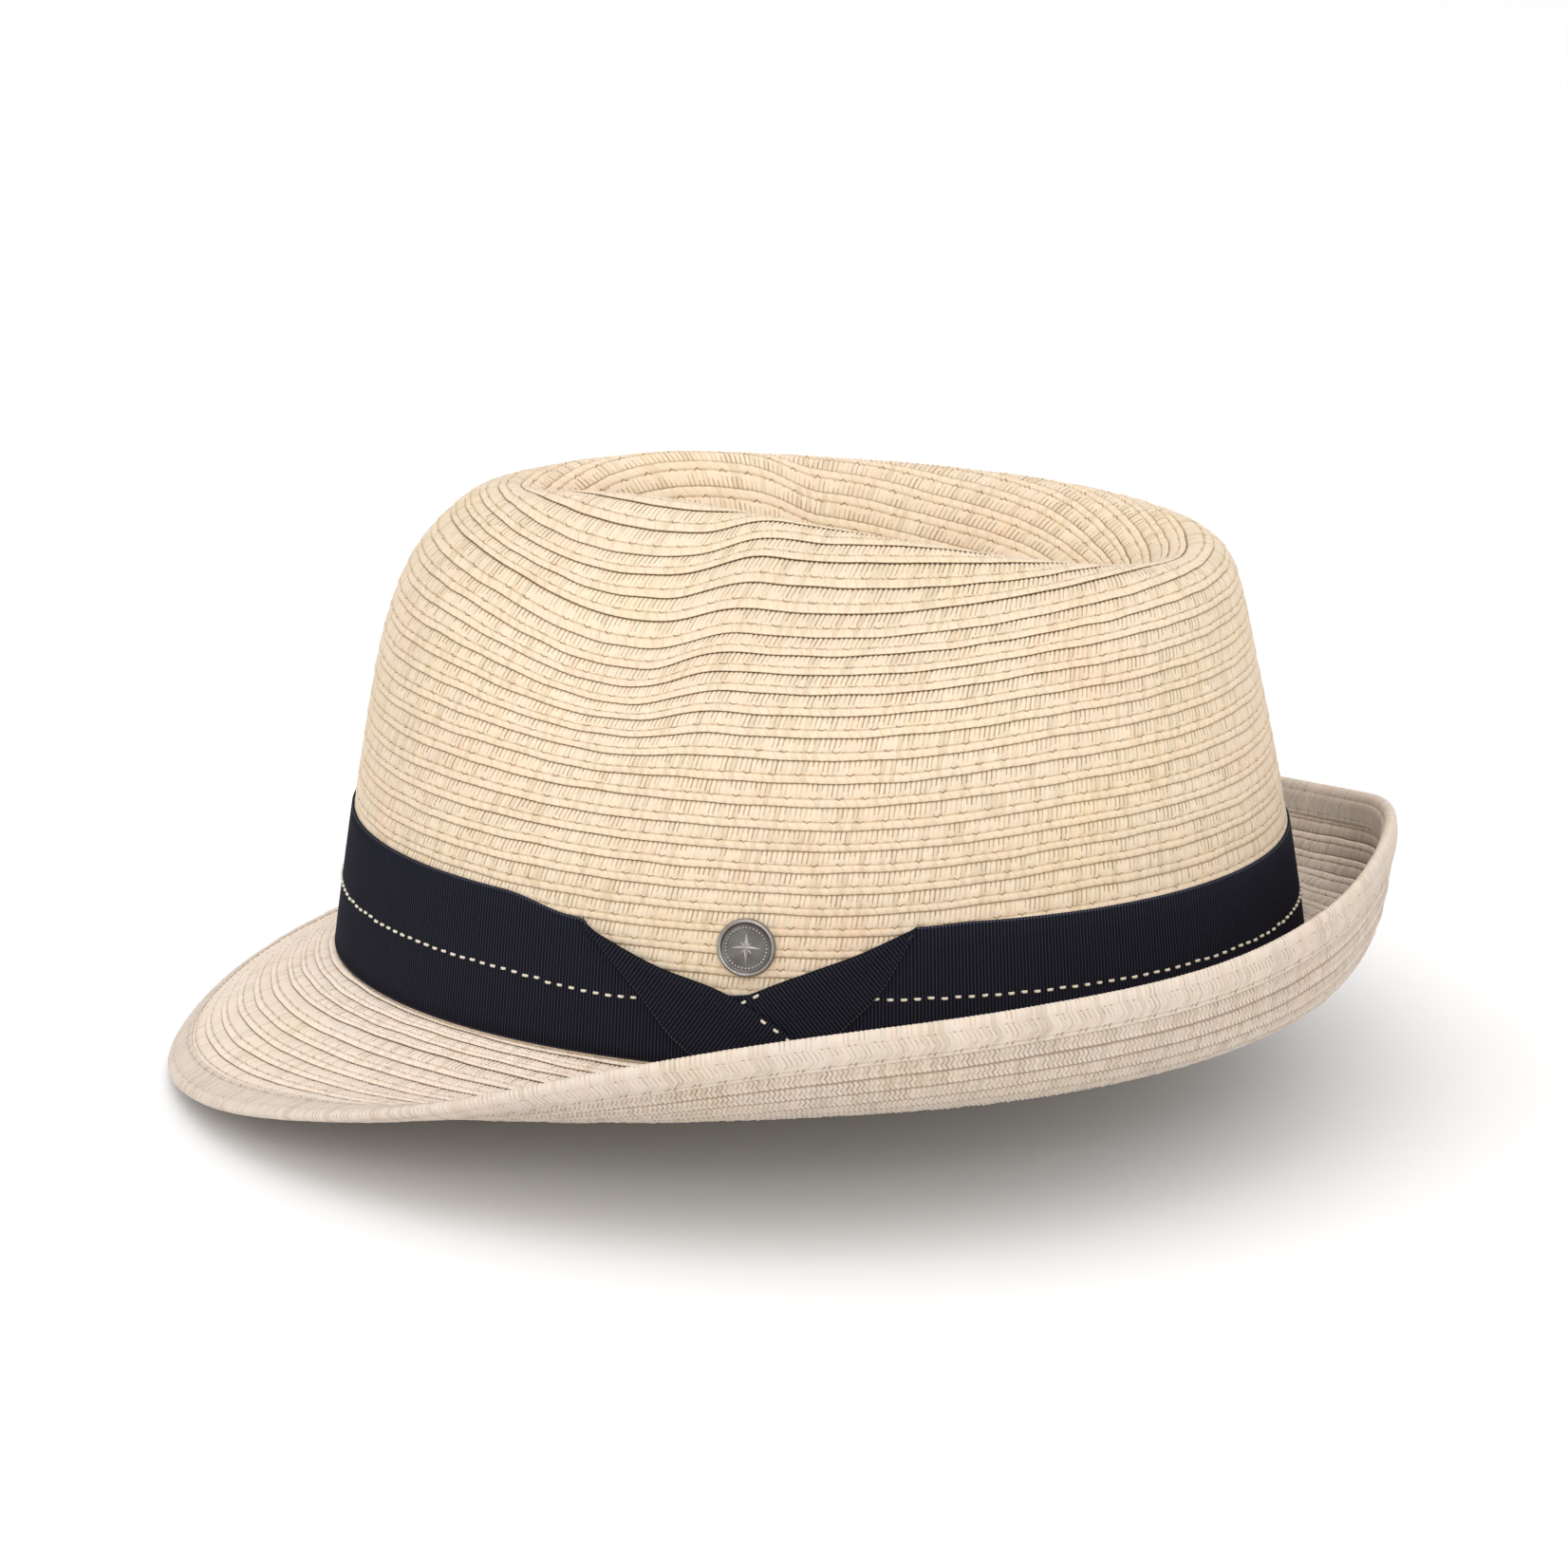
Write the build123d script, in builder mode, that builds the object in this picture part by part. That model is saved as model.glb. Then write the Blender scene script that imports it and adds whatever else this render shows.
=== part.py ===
from build123d import *
import math
import os

# Short-brim fedora of sewn paper-straw braid, millimetres.
# Frame: origin at the centre of the head opening, in the plane where the brim meets the crown.
# +Z up, -Y towards the front of the hat, +X towards the wearer's left, where the ribbon crosses.
# phi runs round the hat: 0 at the front, 90 degrees at the wearer's left, 180 at the back.

os.makedirs("parts", exist_ok=True)

# ---------------------------------------------------------------- driving dimensions
HALF_LENGTH = 102.0          # outside of the crown at the brim break, front to centre
HALF_WIDTH = 83.5            # outside of the crown at the brim break, side to centre
STRAW = 2.2                  # thickness of the overlapped braid
MID_WALL = 58.0              # height where the wall stops being straight
RIDGE_CENTRE = 6.0           # the teardrop crease lies a little behind the centre
RIDGE_HALF_LENGTH = 74.0
FLOOR_HEIGHT = 78.0          # floor of the teardrop crease at its middle
FLOOR_HALF_LENGTH = 38.0
PINCH_DEPTH = 7.0
PINCH_ANGLE = 60.0           # degrees from the front

BRIM_SHELF = 0.8             # flat ledge of the brim outside the crown wall
BRIM_HANDLE = 16.5           # length of the curve handles of the brim section
BINDING_WIDTH = 6.0          # the edge row of braid, folded over the brim edge
BINDING_PLY = 0.7
EDGE_LIP = 1.9
WIRE_RADIUS = 0.5
WIRE_GAP = 0.2
BINDING_GAP = 0.08           # between the brim and the edge row folded round it

HATBAND_BOTTOM = 0.7
HATBAND_TOP = 31.3
RIBBON_PLY = 0.5
RIBBON_GAP = 0.25            # between the straw and the ribbon, and between folds of ribbon
STITCH_HEIGHT = 15.8         # contrast running stitch along the middle of the ribbon

SWEATBAND_BOTTOM = 0.8
SWEATBAND_TOP = 30.0
SWEATBAND_PLY = 1.0
SWEATBAND_STAND_OFF = (0.3, 3.1)     # from the straw, at the bottom and at the top
THREAD = 0.5
LAYER_GAP = 0.1              # between the sweatband and what is sewn to it

BADGE_PHI = 87.5
BADGE_HEIGHT = 25.6
BADGE_RADIUS = 6.0
BADGE_PLY = 1.3
NAIL_RADIUS = 0.7
NAIL_HOLE_RADIUS = 1.1
WASHER_RADIUS = 4.0
RUNNING_GAP = 0.35           # clearance between the turning badge and the straw

FRONT_CUT_Y = -104.5         # the flexing front piece ends here
REAR_CUT_Y = -101.4          # the fixed brim ends here

RING_POINTS = 28             # points round each section of the crown
BRIM_STEP = 10.0             # degrees between brim sections

# brim section at angles round the hat: angle, reach, rise, start slope, end slope
BRIM_KNOTS = (
    (0, 34.5, -25.5, -30, -42),
    (25, 35.5, -21.0, -32, -30),
    (46, 36.0, -12.0, -36, -2),
    (61, 36.5, -3.0, -33, 25),
    (79, 36.0, 10.0, -28, 60),
    (95, 34.5, 18.0, -20, 76),
    (115, 31.5, 22.5, -12, 80),
    (135, 26.0, 24.2, 0, 82),
    (155, 19.5, 26.5, 12, 84),
    (180, 17.0, 31.5, 22, 84),
)
# the wearer's right is rolled up less behind: angles where that begins, is full, is full until and ends
RIGHT_EASE = (192.0, 232.0, 250.0, 300.0)
RIGHT_EASE_BY = (3.0, -9.0, 0.0, -15.0)      # change of reach, rise, start slope and end slope


# ---------------------------------------------------------------- vector helpers
def cos_deg(angle):
    return math.cos(math.radians(angle))


def sin_deg(angle):
    return math.sin(math.radians(angle))


def tan_deg(angle):
    return math.tan(math.radians(angle))


def fold(phi):
    """Angle from the front, 0 to 180, the same on both sides."""
    return abs((phi + 180.0) % 360.0 - 180.0)


def around(phi, front, side, back):
    """Blend three values round the hat."""
    along = cos_deg(phi)
    return side * sin_deg(phi) ** 2 + (front if along > 0 else back) * along ** 2


def bezier(p0, p1, p2, p3, t):
    s = 1.0 - t
    return p0 * s ** 3 + p1 * 3 * s * s * t + p2 * 3 * s * t * t + p3 * t ** 3


def smooth_step(x, low, high):
    t = min(max((x - low) / (high - low), 0.0), 1.0)
    return t * t * (3 - 2 * t)


def graded(knots, angle):
    """Smooth values between knots, with level tangents at both ends."""
    rows = [knots[0]] + list(knots) + [knots[-1]]
    i = max(k for k in range(1, len(rows) - 2) if rows[k][0] <= angle or k == 1)
    a, b, c, d = rows[i - 1], rows[i], rows[i + 1], rows[i + 2]
    span = c[0] - b[0]
    t = (angle - b[0]) / span
    values = []
    for j in range(1, len(b)):
        start = 0.0 if i == 1 else (c[j] - a[j]) / (c[0] - a[0]) * span
        end = 0.0 if i == len(rows) - 3 else (d[j] - b[j]) / (d[0] - b[0]) * span
        values.append((2 * t ** 3 - 3 * t * t + 1) * b[j] + (t ** 3 - 2 * t * t + t) * start
                      + (3 * t * t - 2 * t ** 3) * c[j] + (t ** 3 - t * t) * end)
    return values


# ---------------------------------------------------------------- shape of the crown
def oval(phi):
    return Vector(HALF_WIDTH * sin_deg(phi), -HALF_LENGTH * cos_deg(phi), 0)


def outward(phi):
    return Vector(sin_deg(phi) / HALF_WIDTH, -cos_deg(phi) / HALF_LENGTH, 0).normalized()


def ridge(phi):
    """Top edge of the teardrop crease: narrow and high in front, wide and low behind."""
    c, s = cos_deg(phi), sin_deg(phi)
    height = 99.4 + 6.6 * c - 1.6 * c * c - 0.6 * c ** 3
    height -= 3.0 * max(c, 0.0) ** 4 + 0.8 * max(-c, 0.0) ** 3
    return Vector(s * (28.5 - 14.0 * c + 4.0 * c * c), RIDGE_CENTRE - RIDGE_HALF_LENGTH * c, height)


def pinch(phi, v):
    """Depth of the finger pinch at the front of each side."""
    s = min(max((v - 0.3) / 0.7, 0.0), 1.0)
    across = math.exp(-((fold(phi) - PINCH_ANGLE) / 20.0) ** 2)
    return PINCH_DEPTH * across * math.sin(math.pi * s ** 0.8) ** 2


def wall(phi, v):
    """Outside of the crown: v is 0 at the brim break, 0.5 at mid wall and 1 on the ridge."""
    n, up = outward(phi), Vector(0, 0, 1)
    base = oval(phi)
    lean_low = around(phi, 7.0, 6.5, 7.5)
    lean_mid = around(phi, 9.5, 14.0, 12.5)
    mid = base - n * around(phi, 8.2, 9.0, 10.0) + up * MID_WALL
    if v < 0.5:
        third = MID_WALL / 3
        point = bezier(base, base + (up - n * tan_deg(lean_low)) * third,
                       mid - (up - n * tan_deg(lean_mid)) * third, mid, 2 * v)
    else:
        top = ridge(phi)
        out = Vector(base.X - top.X, base.Y - top.Y, 0).normalized()
        slope = around(phi, 30.0, 34.0, 20.0)
        rise = up * cos_deg(lean_mid) - n * sin_deg(lean_mid)
        fall = out * cos_deg(slope) - up * sin_deg(slope)
        point = bezier(mid, mid + rise * around(phi, 27.0, 22.0, 24.0),
                       top + fall * around(phi, 14.0, 26.0, 7.0), top, 2 * v - 1)
    depth = pinch(phi, v)
    return point - n * depth - up * (0.5 * depth)


def dent(phi, u):
    """The teardrop crease: u is 0 on the ridge and 1 at the edge of its flat floor."""
    c = cos_deg(phi)
    top = ridge(phi)
    floor = Vector(0.14 * top.X, RIDGE_CENTRE - FLOOR_HALF_LENGTH * c, FLOOR_HEIGHT + 4.0 * c)
    drop = u * u * (3 - 2 * u)
    return Vector(top.X + (floor.X - top.X) * u, top.Y + (floor.Y - top.Y) * u,
                  top.Z + (floor.Z - top.Z) * drop)


def inward_step(surface, phi, t, sign):
    """Unit normal of a surface that points into the straw."""
    d = 0.01
    along = surface(phi + 0.5, t) - surface(phi - 0.5, t)
    up = surface(phi, min(t + d, 1.0)) - surface(phi, max(t - d, 0.0))
    return along.cross(up).normalized() * sign


def ring(points):
    return Wire([Edge.make_spline(points, periodic=True)])


def angles():
    return [360.0 * k / RING_POINTS for k in range(RING_POINTS)]


def crown_solid(inset, bottom):
    """The closed form of the crown, moved inwards by inset."""
    rings = [[oval(a) - outward(a) * inset + Vector(0, 0, bottom) for a in angles()]]
    if bottom < 0:
        rings.append([oval(a) - outward(a) * inset for a in angles()])
    for v in (0.04, 0.1, 0.18, 0.26, 0.34, 0.42, 0.5, 0.6, 0.7, 0.8, 0.88, 0.95):
        rings.append([wall(a, v) + inward_step(wall, a, v, -1) * inset for a in angles()])
    under_ridge = Vector(0, 0, -1.35 * inset)
    rings.append([ridge(a) + under_ridge for a in angles()])
    for u in (0.12, 0.3, 0.5, 0.7, 0.88):
        rings.append([dent(a, u) + inward_step(dent, a, u, -1) * inset for a in angles()])
    rings.append([dent(a, 1.0) - Vector(0, 0, inset) for a in angles()])
    return Solid.make_loft([ring(points) for points in rings])


def band_ring(z, offset):
    """A level ring on the lower crown wall, moved outwards by offset."""
    points = []
    for a in angles():
        p = wall(a, 0.5 * z / MID_WALL) + outward(a) * offset
        points.append(Vector(p.X, p.Y, z))
    return ring(points)


def band_layer(low, high, inner, ply):
    """Upright strip that follows the crown wall.

    inner holds the offsets of its inner face from the outside of the wall, at low and at high.
    """
    def offset_at(z):
        return inner[0] + (inner[1] - inner[0]) * (z - low) / (high - low)

    heights = [low + (high - low) * k / 3 for k in range(4)]
    reach = [low - 0.5] + heights[1:3] + [high + 0.5]
    outside = Solid.make_loft([band_ring(z, offset_at(z) + ply) for z in heights])
    inside = Solid.make_loft([band_ring(z, offset_at(z)) for z in reach])
    return outside - inside


# ---------------------------------------------------------------- crown
badge_seat = wall(BADGE_PHI, 0.5 * BADGE_HEIGHT / MID_WALL)
badge_axis = inward_step(wall, BADGE_PHI, 0.5 * BADGE_HEIGHT / MID_WALL, 1)
badge_plane = Plane(origin=badge_seat, x_dir=(0, 1, 0), z_dir=badge_axis)

crown_outside = crown_solid(0.0, 0.0)
crown_inside = crown_solid(STRAW, -1.0)

with BuildPart() as crown:
    add(crown_outside)
    add(crown_inside, mode=Mode.SUBTRACT)
    with BuildSketch(badge_plane.offset(-STRAW - 2)):
        Circle(NAIL_HOLE_RADIUS)
    extrude(amount=STRAW + 4, mode=Mode.SUBTRACT)


# ---------------------------------------------------------------- brim
def brim_plane(phi):
    """Upright plane through the brim break: its x is outwards, its y is up."""
    n = outward(phi)
    return Plane(origin=oval(phi), x_dir=n, z_dir=n.cross(Vector(0, 0, 1)))


def brim_curve(phi):
    """Middle line of the brim section, as four control points, and its two end slopes."""
    begins, full, until, ends = RIGHT_EASE
    eased = smooth_step(phi % 360.0, begins, full) * (1 - smooth_step(phi % 360.0, until, ends))
    knot = graded(BRIM_KNOTS, fold(phi))
    reach, rise, start, end = [value + eased * by for value, by in zip(knot, RIGHT_EASE_BY)]
    p0 = Vector(BRIM_SHELF, -STRAW / 2)
    p3 = Vector(reach, rise)
    p1 = p0 + Vector(cos_deg(start), sin_deg(start)) * BRIM_HANDLE
    p2 = p3 - Vector(cos_deg(end), sin_deg(end)) * BRIM_HANDLE
    return [p0, p1, p2, p3], start, end


def shifted(curve, n0, n3, turn, offset):
    """The curve moved sideways, with its handles shortened or lengthened to match."""
    p0, p1, p2, p3 = curve
    length = (p1 - p0).length + (p2 - p1).length + (p3 - p2).length
    scale = 1.0 - offset * math.radians(turn) / length
    return [p0 + n0 * offset, p0 + n0 * offset + (p1 - p0) * scale,
            p3 + n3 * offset - (p3 - p2) * scale, p3 + n3 * offset]


def across(slope):
    return Vector(-sin_deg(slope), cos_deg(slope))


def edge_part(curve, width):
    """The last stretch of the curve, about width long."""
    p0, p1, p2, p3 = curve
    length = (p1 - p0).length + (p2 - p1).length + (p3 - p2).length
    t = 1.0 - width / length
    a, b, c = p0 + (p1 - p0) * t, p1 + (p2 - p1) * t, p2 + (p3 - p2) * t
    d, e = a + (b - a) * t, b + (c - b) * t
    return [d + (e - d) * t, e, c, p3]


def brim_sketch(phi):
    curve, start, end = brim_curve(phi)
    upper = shifted(curve, Vector(0, 1), across(end), end - start, STRAW / 2)
    lower = shifted(curve, Vector(0, 1), across(end), end - start, -STRAW / 2)
    with BuildSketch(brim_plane(phi)) as sketch:
        with BuildLine():
            Line((-STRAW, -STRAW), (-STRAW, 0))
            Line((-STRAW, 0), upper[0])
            Bezier(*upper)
            Line(upper[3], lower[3])
            Bezier(*lower[::-1])
            Line(lower[0], (-STRAW, -STRAW))
        make_face()
    return sketch.sketch


def binding_sketch(phi):
    """The folded edge row: a hairpin round the brim edge, with a channel in its fold for the wire."""
    curve, start, end = brim_curve(phi)
    tail = edge_part(curve, BINDING_WIDTH)
    begin = math.degrees(math.atan2(tail[1].Y - tail[0].Y, tail[1].X - tail[0].X))
    ahead, side = Vector(cos_deg(end), sin_deg(end)), across(end)

    def offset_line(offset):
        return shifted(tail, across(begin), side, end - begin, offset)

    bare = STRAW / 2 + BINDING_GAP
    upper, lower = offset_line(bare + BINDING_PLY), offset_line(-bare - BINDING_PLY)
    under_upper, over_lower = offset_line(bare), offset_line(-bare)
    channel = WIRE_RADIUS + WIRE_GAP
    high, low = curve[3] + side * channel, curve[3] - side * channel
    depth = ahead * (2 * channel)
    with BuildSketch(brim_plane(phi)) as sketch:
        with BuildLine():
            Line(lower[0], over_lower[0])
            Bezier(*over_lower)
            Polyline(over_lower[3], low, low + depth, high + depth, high, under_upper[3])
            Bezier(*under_upper[::-1])
            Line(under_upper[0], upper[0])
            Bezier(*upper)
            ThreePointArc(upper[3], curve[3] + ahead * EDGE_LIP, lower[3])
            Bezier(*lower[::-1])
        make_face()
    return sketch.sketch


def wire_point(phi):
    curve, _, end = brim_curve(phi)
    centre = curve[3] + Vector(cos_deg(end), sin_deg(end)) * (WIRE_RADIUS + WIRE_GAP)
    return brim_plane(phi).from_local_coords(Vector(centre.X, centre.Y, 0))


FRONT_ARC = (-75.0, 75.0)
REAR_ARC = (30.0, 330.0)
FAR = 400.0


def stations(arc, step):
    """Angles evenly spaced over part of the way round, both ends included."""
    start, end = arc
    steps = round((end - start) / step)
    return [start + (end - start) * k / steps for k in range(steps + 1)]


def lofted(make_sketch, arc):
    """A piece of the brim, lofted through upright sections."""
    with BuildPart() as piece:
        loft(sections=[make_sketch(phi) for phi in stations(arc, BRIM_STEP)])
    return piece.part


def bent_wire(arc):
    with BuildPart() as piece:
        with BuildLine() as path:
            Spline(*[wire_point(phi) for phi in stations(arc, BRIM_STEP / 2)])
        with BuildSketch(Plane(origin=path.line @ 0, z_dir=path.line % 0)):
            Circle(WIRE_RADIUS)
        sweep()
    return piece.part


def trimmed(piece, centre_y):
    """The part of the piece in a big square centred on centre_y."""
    with BuildPart() as cut:
        add(piece)
        with BuildSketch(Plane.XY.offset(-FAR / 2)):
            with Locations((0, centre_y)):
                Rectangle(FAR, FAR)
        extrude(amount=FAR, mode=Mode.INTERSECT)
    return cut.part


front_centre = FRONT_CUT_Y - FAR / 2
rear_centre = REAR_CUT_Y + FAR / 2


# ---------------------------------------------------------------- hatband and its folded ends
# The ribbon ends meet at the wearer's left. Each end is folded on the slant and the two cross.
# The outlines below are side views, y then z, of what shows between the fold corners.
FOLD_TOP = HATBAND_TOP - 0.3
FOLD_BOTTOM = 1.2
FRONT_CORNER_Y, REAR_CORNER_Y = -40.0, 30.0
valley_front = [(-34.0, 25.9), (-22.0, 20.0), (-9.0, 15.3)]
valley_rear = [(9.0, 20.0), (18.0, 23.4), (25.0, 27.0)]

ply_1 = RIBBON_GAP + RIBBON_PLY
ply_2 = ply_1 + RIBBON_GAP + RIBBON_PLY
ply_3 = ply_2 + RIBBON_GAP + RIBBON_PLY


def side_prism(build_line):
    """Solid that reaches through the wearer's left side, with the given outline."""
    with BuildPart() as prism:
        with BuildSketch(Plane.YZ.offset(20)):
            with BuildLine():
                build_line()
            make_face()
        extrude(amount=100)
    return prism.part


def notch_outline():
    lowered = [(y, z - 1.0) for y, z in valley_front + valley_rear]
    left, right = (FRONT_CORNER_Y + 0.6, HATBAND_TOP + 1), (REAR_CORNER_Y - 0.6, HATBAND_TOP + 1)
    Polyline(left, *lowered, right, close=True)


def front_fold_outline():
    upper_edge = [(FRONT_CORNER_Y, FOLD_TOP), *valley_front, (3.0, 9.2), (13.0, FOLD_BOTTOM)]
    selvedge = [(-13.0, FOLD_BOTTOM), (-21.0, 6.6), (-29.0, 15.5), (-36.0, 25.0)]
    Polyline(*upper_edge, *selvedge, close=True)


def rear_fold_outline():
    upper_edge = [(REAR_CORNER_Y, FOLD_TOP), *valley_rear[::-1], (0.0, 16.8), (-9.0, 12.6)]
    selvedge = [(9.0, FOLD_BOTTOM), (15.0, 9.3), (22.0, 17.0), (27.0, 26.0)]
    Polyline(*upper_edge, (-15.0, 8.0), (-12.0, FOLD_BOTTOM), *selvedge, close=True)


with BuildPart() as hatband:
    add(band_layer(HATBAND_BOTTOM, HATBAND_TOP, (RIBBON_GAP, RIBBON_GAP), RIBBON_PLY))
    add(side_prism(notch_outline), mode=Mode.SUBTRACT)

with BuildPart() as rear_fold:
    add(band_layer(HATBAND_BOTTOM, HATBAND_TOP, (ply_1 + RIBBON_GAP,) * 2, RIBBON_PLY))
    add(side_prism(rear_fold_outline), mode=Mode.INTERSECT)

with BuildPart() as front_fold:
    add(band_layer(HATBAND_BOTTOM, HATBAND_TOP, (ply_2 + RIBBON_GAP,) * 2, RIBBON_PLY))
    add(side_prism(front_fold_outline), mode=Mode.INTERSECT)


def wall_at(phi, z, offset):
    """Location on the lower wall: x runs round the hat, z points outwards."""
    n = outward(phi)
    p = wall(phi, 0.5 * z / MID_WALL)
    origin = Vector(p.X, p.Y, z) + n * offset
    return Plane(origin=origin, x_dir=Vector(0, 0, 1).cross(n), z_dir=n)


def side_location(y, z, offset, slope):
    """Location on the wearer's left side, from its y and z, turned by slope."""
    half_length = HALF_LENGTH - around(0, 8.2, 9.0, 10.0) * z / MID_WALL
    phi = math.degrees(math.acos(-y / half_length))
    return wall_at(phi, z, offset).location * Location((0, 0, 0), (0, 0, slope))


with BuildPart() as contrast_thread:
    add(band_layer(STITCH_HEIGHT - THREAD / 2, STITCH_HEIGHT + THREAD / 2, (ply_1 + 0.02,) * 2, 0.3))
    with BuildSketch(Plane.YZ.offset(20)):
        with Locations((-3.0, 0)):
            Rectangle(54, 80)
    extrude(amount=100, mode=Mode.SUBTRACT)

with BuildPart() as ribbon_tacks:
    with Locations(*[side_location(y, z, ply_3 + 0.05, -30) for y, z in ((-6.0, 4.0), (1.0, 4.0))]):
        Box(2.4, THREAD, THREAD, align=(Align.CENTER, Align.CENTER, Align.MIN))
    with Locations(side_location(-36.5, 28.2, ply_3 + 0.05, -50), side_location(27.8, 28.6, ply_2 + 0.05, 50)):
        Box(1.6, THREAD, THREAD / 2, align=(Align.CENTER, Align.CENTER, Align.MIN))


# ---------------------------------------------------------------- sweatband
def sweatband_offsets(extra):
    """Outer face of a layer inside the crown, further in by extra, at bottom and top."""
    return tuple(-STRAW - gap - extra for gap in SWEATBAND_STAND_OFF)


def inner_layer(low, high, depth, ply):
    """Strip inside the crown, its outer face lying depth behind the sweatband's outer face."""
    bottom, top = sweatband_offsets(depth + ply)
    rise = (top - bottom) / (SWEATBAND_TOP - SWEATBAND_BOTTOM)
    offsets = (bottom + rise * (low - SWEATBAND_BOTTOM), bottom + rise * (high - SWEATBAND_BOTTOM))
    return band_layer(low, high, offsets, ply)


with BuildPart() as sweatband:
    add(inner_layer(SWEATBAND_BOTTOM, SWEATBAND_TOP, 0, SWEATBAND_PLY))

with BuildPart() as sweatband_seam:
    add(inner_layer(2.6, 3.2, SWEATBAND_PLY + LAYER_GAP, 0.3))

with BuildPart() as sweatband_join:
    add(inner_layer(4.0, 29.2, SWEATBAND_PLY + LAYER_GAP, THREAD))
    with BuildSketch(Plane.XZ):
        Rectangle(14, 80)
    extrude(amount=-FAR, mode=Mode.INTERSECT)

with BuildPart() as size_label:
    add(inner_layer(8.0, 22.0, SWEATBAND_PLY + LAYER_GAP, 0.3))
    with BuildSketch(Plane.XZ):
        with Locations((26, 0)):
            Rectangle(24, 80)
    extrude(amount=-FAR, mode=Mode.INTERSECT)


# ---------------------------------------------------------------- badge
WASHER_PLY = 0.6
CLINCH_PLY = 0.3
RIM_WIDTH = 0.9
RECESS = 0.35

with BuildPart() as badge_cap:
    with BuildSketch(badge_plane.offset(RUNNING_GAP)):
        Circle(BADGE_RADIUS)
    extrude(amount=BADGE_PLY)
    fillet(badge_cap.edges().filter_by(GeomType.CIRCLE).sort_by(Axis.X)[-1], 0.4)
    with BuildSketch(badge_plane.offset(RUNNING_GAP + BADGE_PLY - RECESS)):
        Circle(BADGE_RADIUS - RIM_WIDTH)
    extrude(amount=BADGE_PLY, mode=Mode.SUBTRACT)

emblem_plane = badge_plane.offset(RUNNING_GAP + BADGE_PLY - RECESS)
with BuildPart() as badge_emblem:
    with BuildSketch(emblem_plane):
        tips = [(3.2 if k % 2 == 0 else 1.0) for k in range(8)]
        with BuildLine():
            Polyline(*[(r * cos_deg(45 * k), r * sin_deg(45 * k)) for k, r in enumerate(tips)], close=True)
        make_face()
    extrude(amount=0.3)

with BuildPart() as badge_bead_ring:
    with BuildSketch(emblem_plane):
        Circle(4.45)
        Circle(3.95, mode=Mode.SUBTRACT)
    extrude(amount=0.25)

nail_length = RUNNING_GAP + STRAW + RUNNING_GAP + WASHER_PLY
with BuildPart() as badge_nail:
    with BuildSketch(badge_plane.offset(RUNNING_GAP)):
        Circle(NAIL_RADIUS)
    extrude(amount=-nail_length)
    with BuildSketch(badge_plane.offset(RUNNING_GAP - nail_length)):
        Circle(2 * NAIL_RADIUS)
    extrude(amount=-CLINCH_PLY)

with BuildPart() as badge_washer:
    with BuildSketch(badge_plane.offset(-STRAW - RUNNING_GAP)):
        Circle(WASHER_RADIUS)
        Circle(NAIL_RADIUS, mode=Mode.SUBTRACT)
    extrude(amount=-WASHER_PLY)


# ---------------------------------------------------------------- write
pieces = {
    "crown": crown.part,
    "brim": trimmed(lofted(brim_sketch, REAR_ARC), rear_centre),
    "front_brim": trimmed(lofted(brim_sketch, FRONT_ARC), front_centre),
    "brim_edge_braid": trimmed(lofted(binding_sketch, REAR_ARC), rear_centre),
    "front_edge_braid": trimmed(lofted(binding_sketch, FRONT_ARC), front_centre),
    "brim_wire": trimmed(bent_wire(REAR_ARC), rear_centre),
    "front_wire": trimmed(bent_wire(FRONT_ARC), front_centre),
    "hatband": hatband.part,
    "hatband_front_fold": front_fold.part,
    "hatband_rear_fold": rear_fold.part,
    "contrast_thread": contrast_thread.part,
    "ribbon_tacks": ribbon_tacks.part,
    "sweatband": sweatband.part,
    "sweatband_seam": sweatband_seam.part,
    "sweatband_join": sweatband_join.part,
    "size_label": size_label.part,
    "badge_cap": badge_cap.part,
    "badge_emblem": badge_emblem.part,
    "badge_bead_ring": badge_bead_ring.part,
    "badge_nail": badge_nail.part,
    "badge_washer": badge_washer.part,
}
for name, part in pieces.items():
    part.label = name
    export_step(part, f"parts/{name}.step")
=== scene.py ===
import math

import bpy
import numpy as np
from mathutils import Matrix, Vector


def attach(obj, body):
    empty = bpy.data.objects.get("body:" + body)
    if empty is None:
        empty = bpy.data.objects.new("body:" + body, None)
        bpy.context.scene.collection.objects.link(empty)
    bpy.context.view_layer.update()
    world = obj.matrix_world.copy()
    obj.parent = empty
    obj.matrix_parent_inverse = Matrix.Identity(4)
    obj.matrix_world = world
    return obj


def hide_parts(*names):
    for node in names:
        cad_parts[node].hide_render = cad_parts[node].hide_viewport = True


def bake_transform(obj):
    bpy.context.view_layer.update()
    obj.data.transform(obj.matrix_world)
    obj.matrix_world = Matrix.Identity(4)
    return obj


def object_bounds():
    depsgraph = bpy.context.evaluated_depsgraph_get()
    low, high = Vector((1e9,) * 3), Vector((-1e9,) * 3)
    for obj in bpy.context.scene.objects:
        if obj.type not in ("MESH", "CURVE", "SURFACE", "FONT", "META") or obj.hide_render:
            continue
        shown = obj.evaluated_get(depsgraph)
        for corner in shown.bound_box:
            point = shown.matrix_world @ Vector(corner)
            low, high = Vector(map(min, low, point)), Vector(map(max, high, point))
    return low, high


# Short-brim fedora of sewn paper-straw braid. Shapes are worked out in millimetres and written to
# the meshes in metres. phi runs round the hat: 0 at the front, 90 at the wearer's left, 180 behind.

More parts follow.
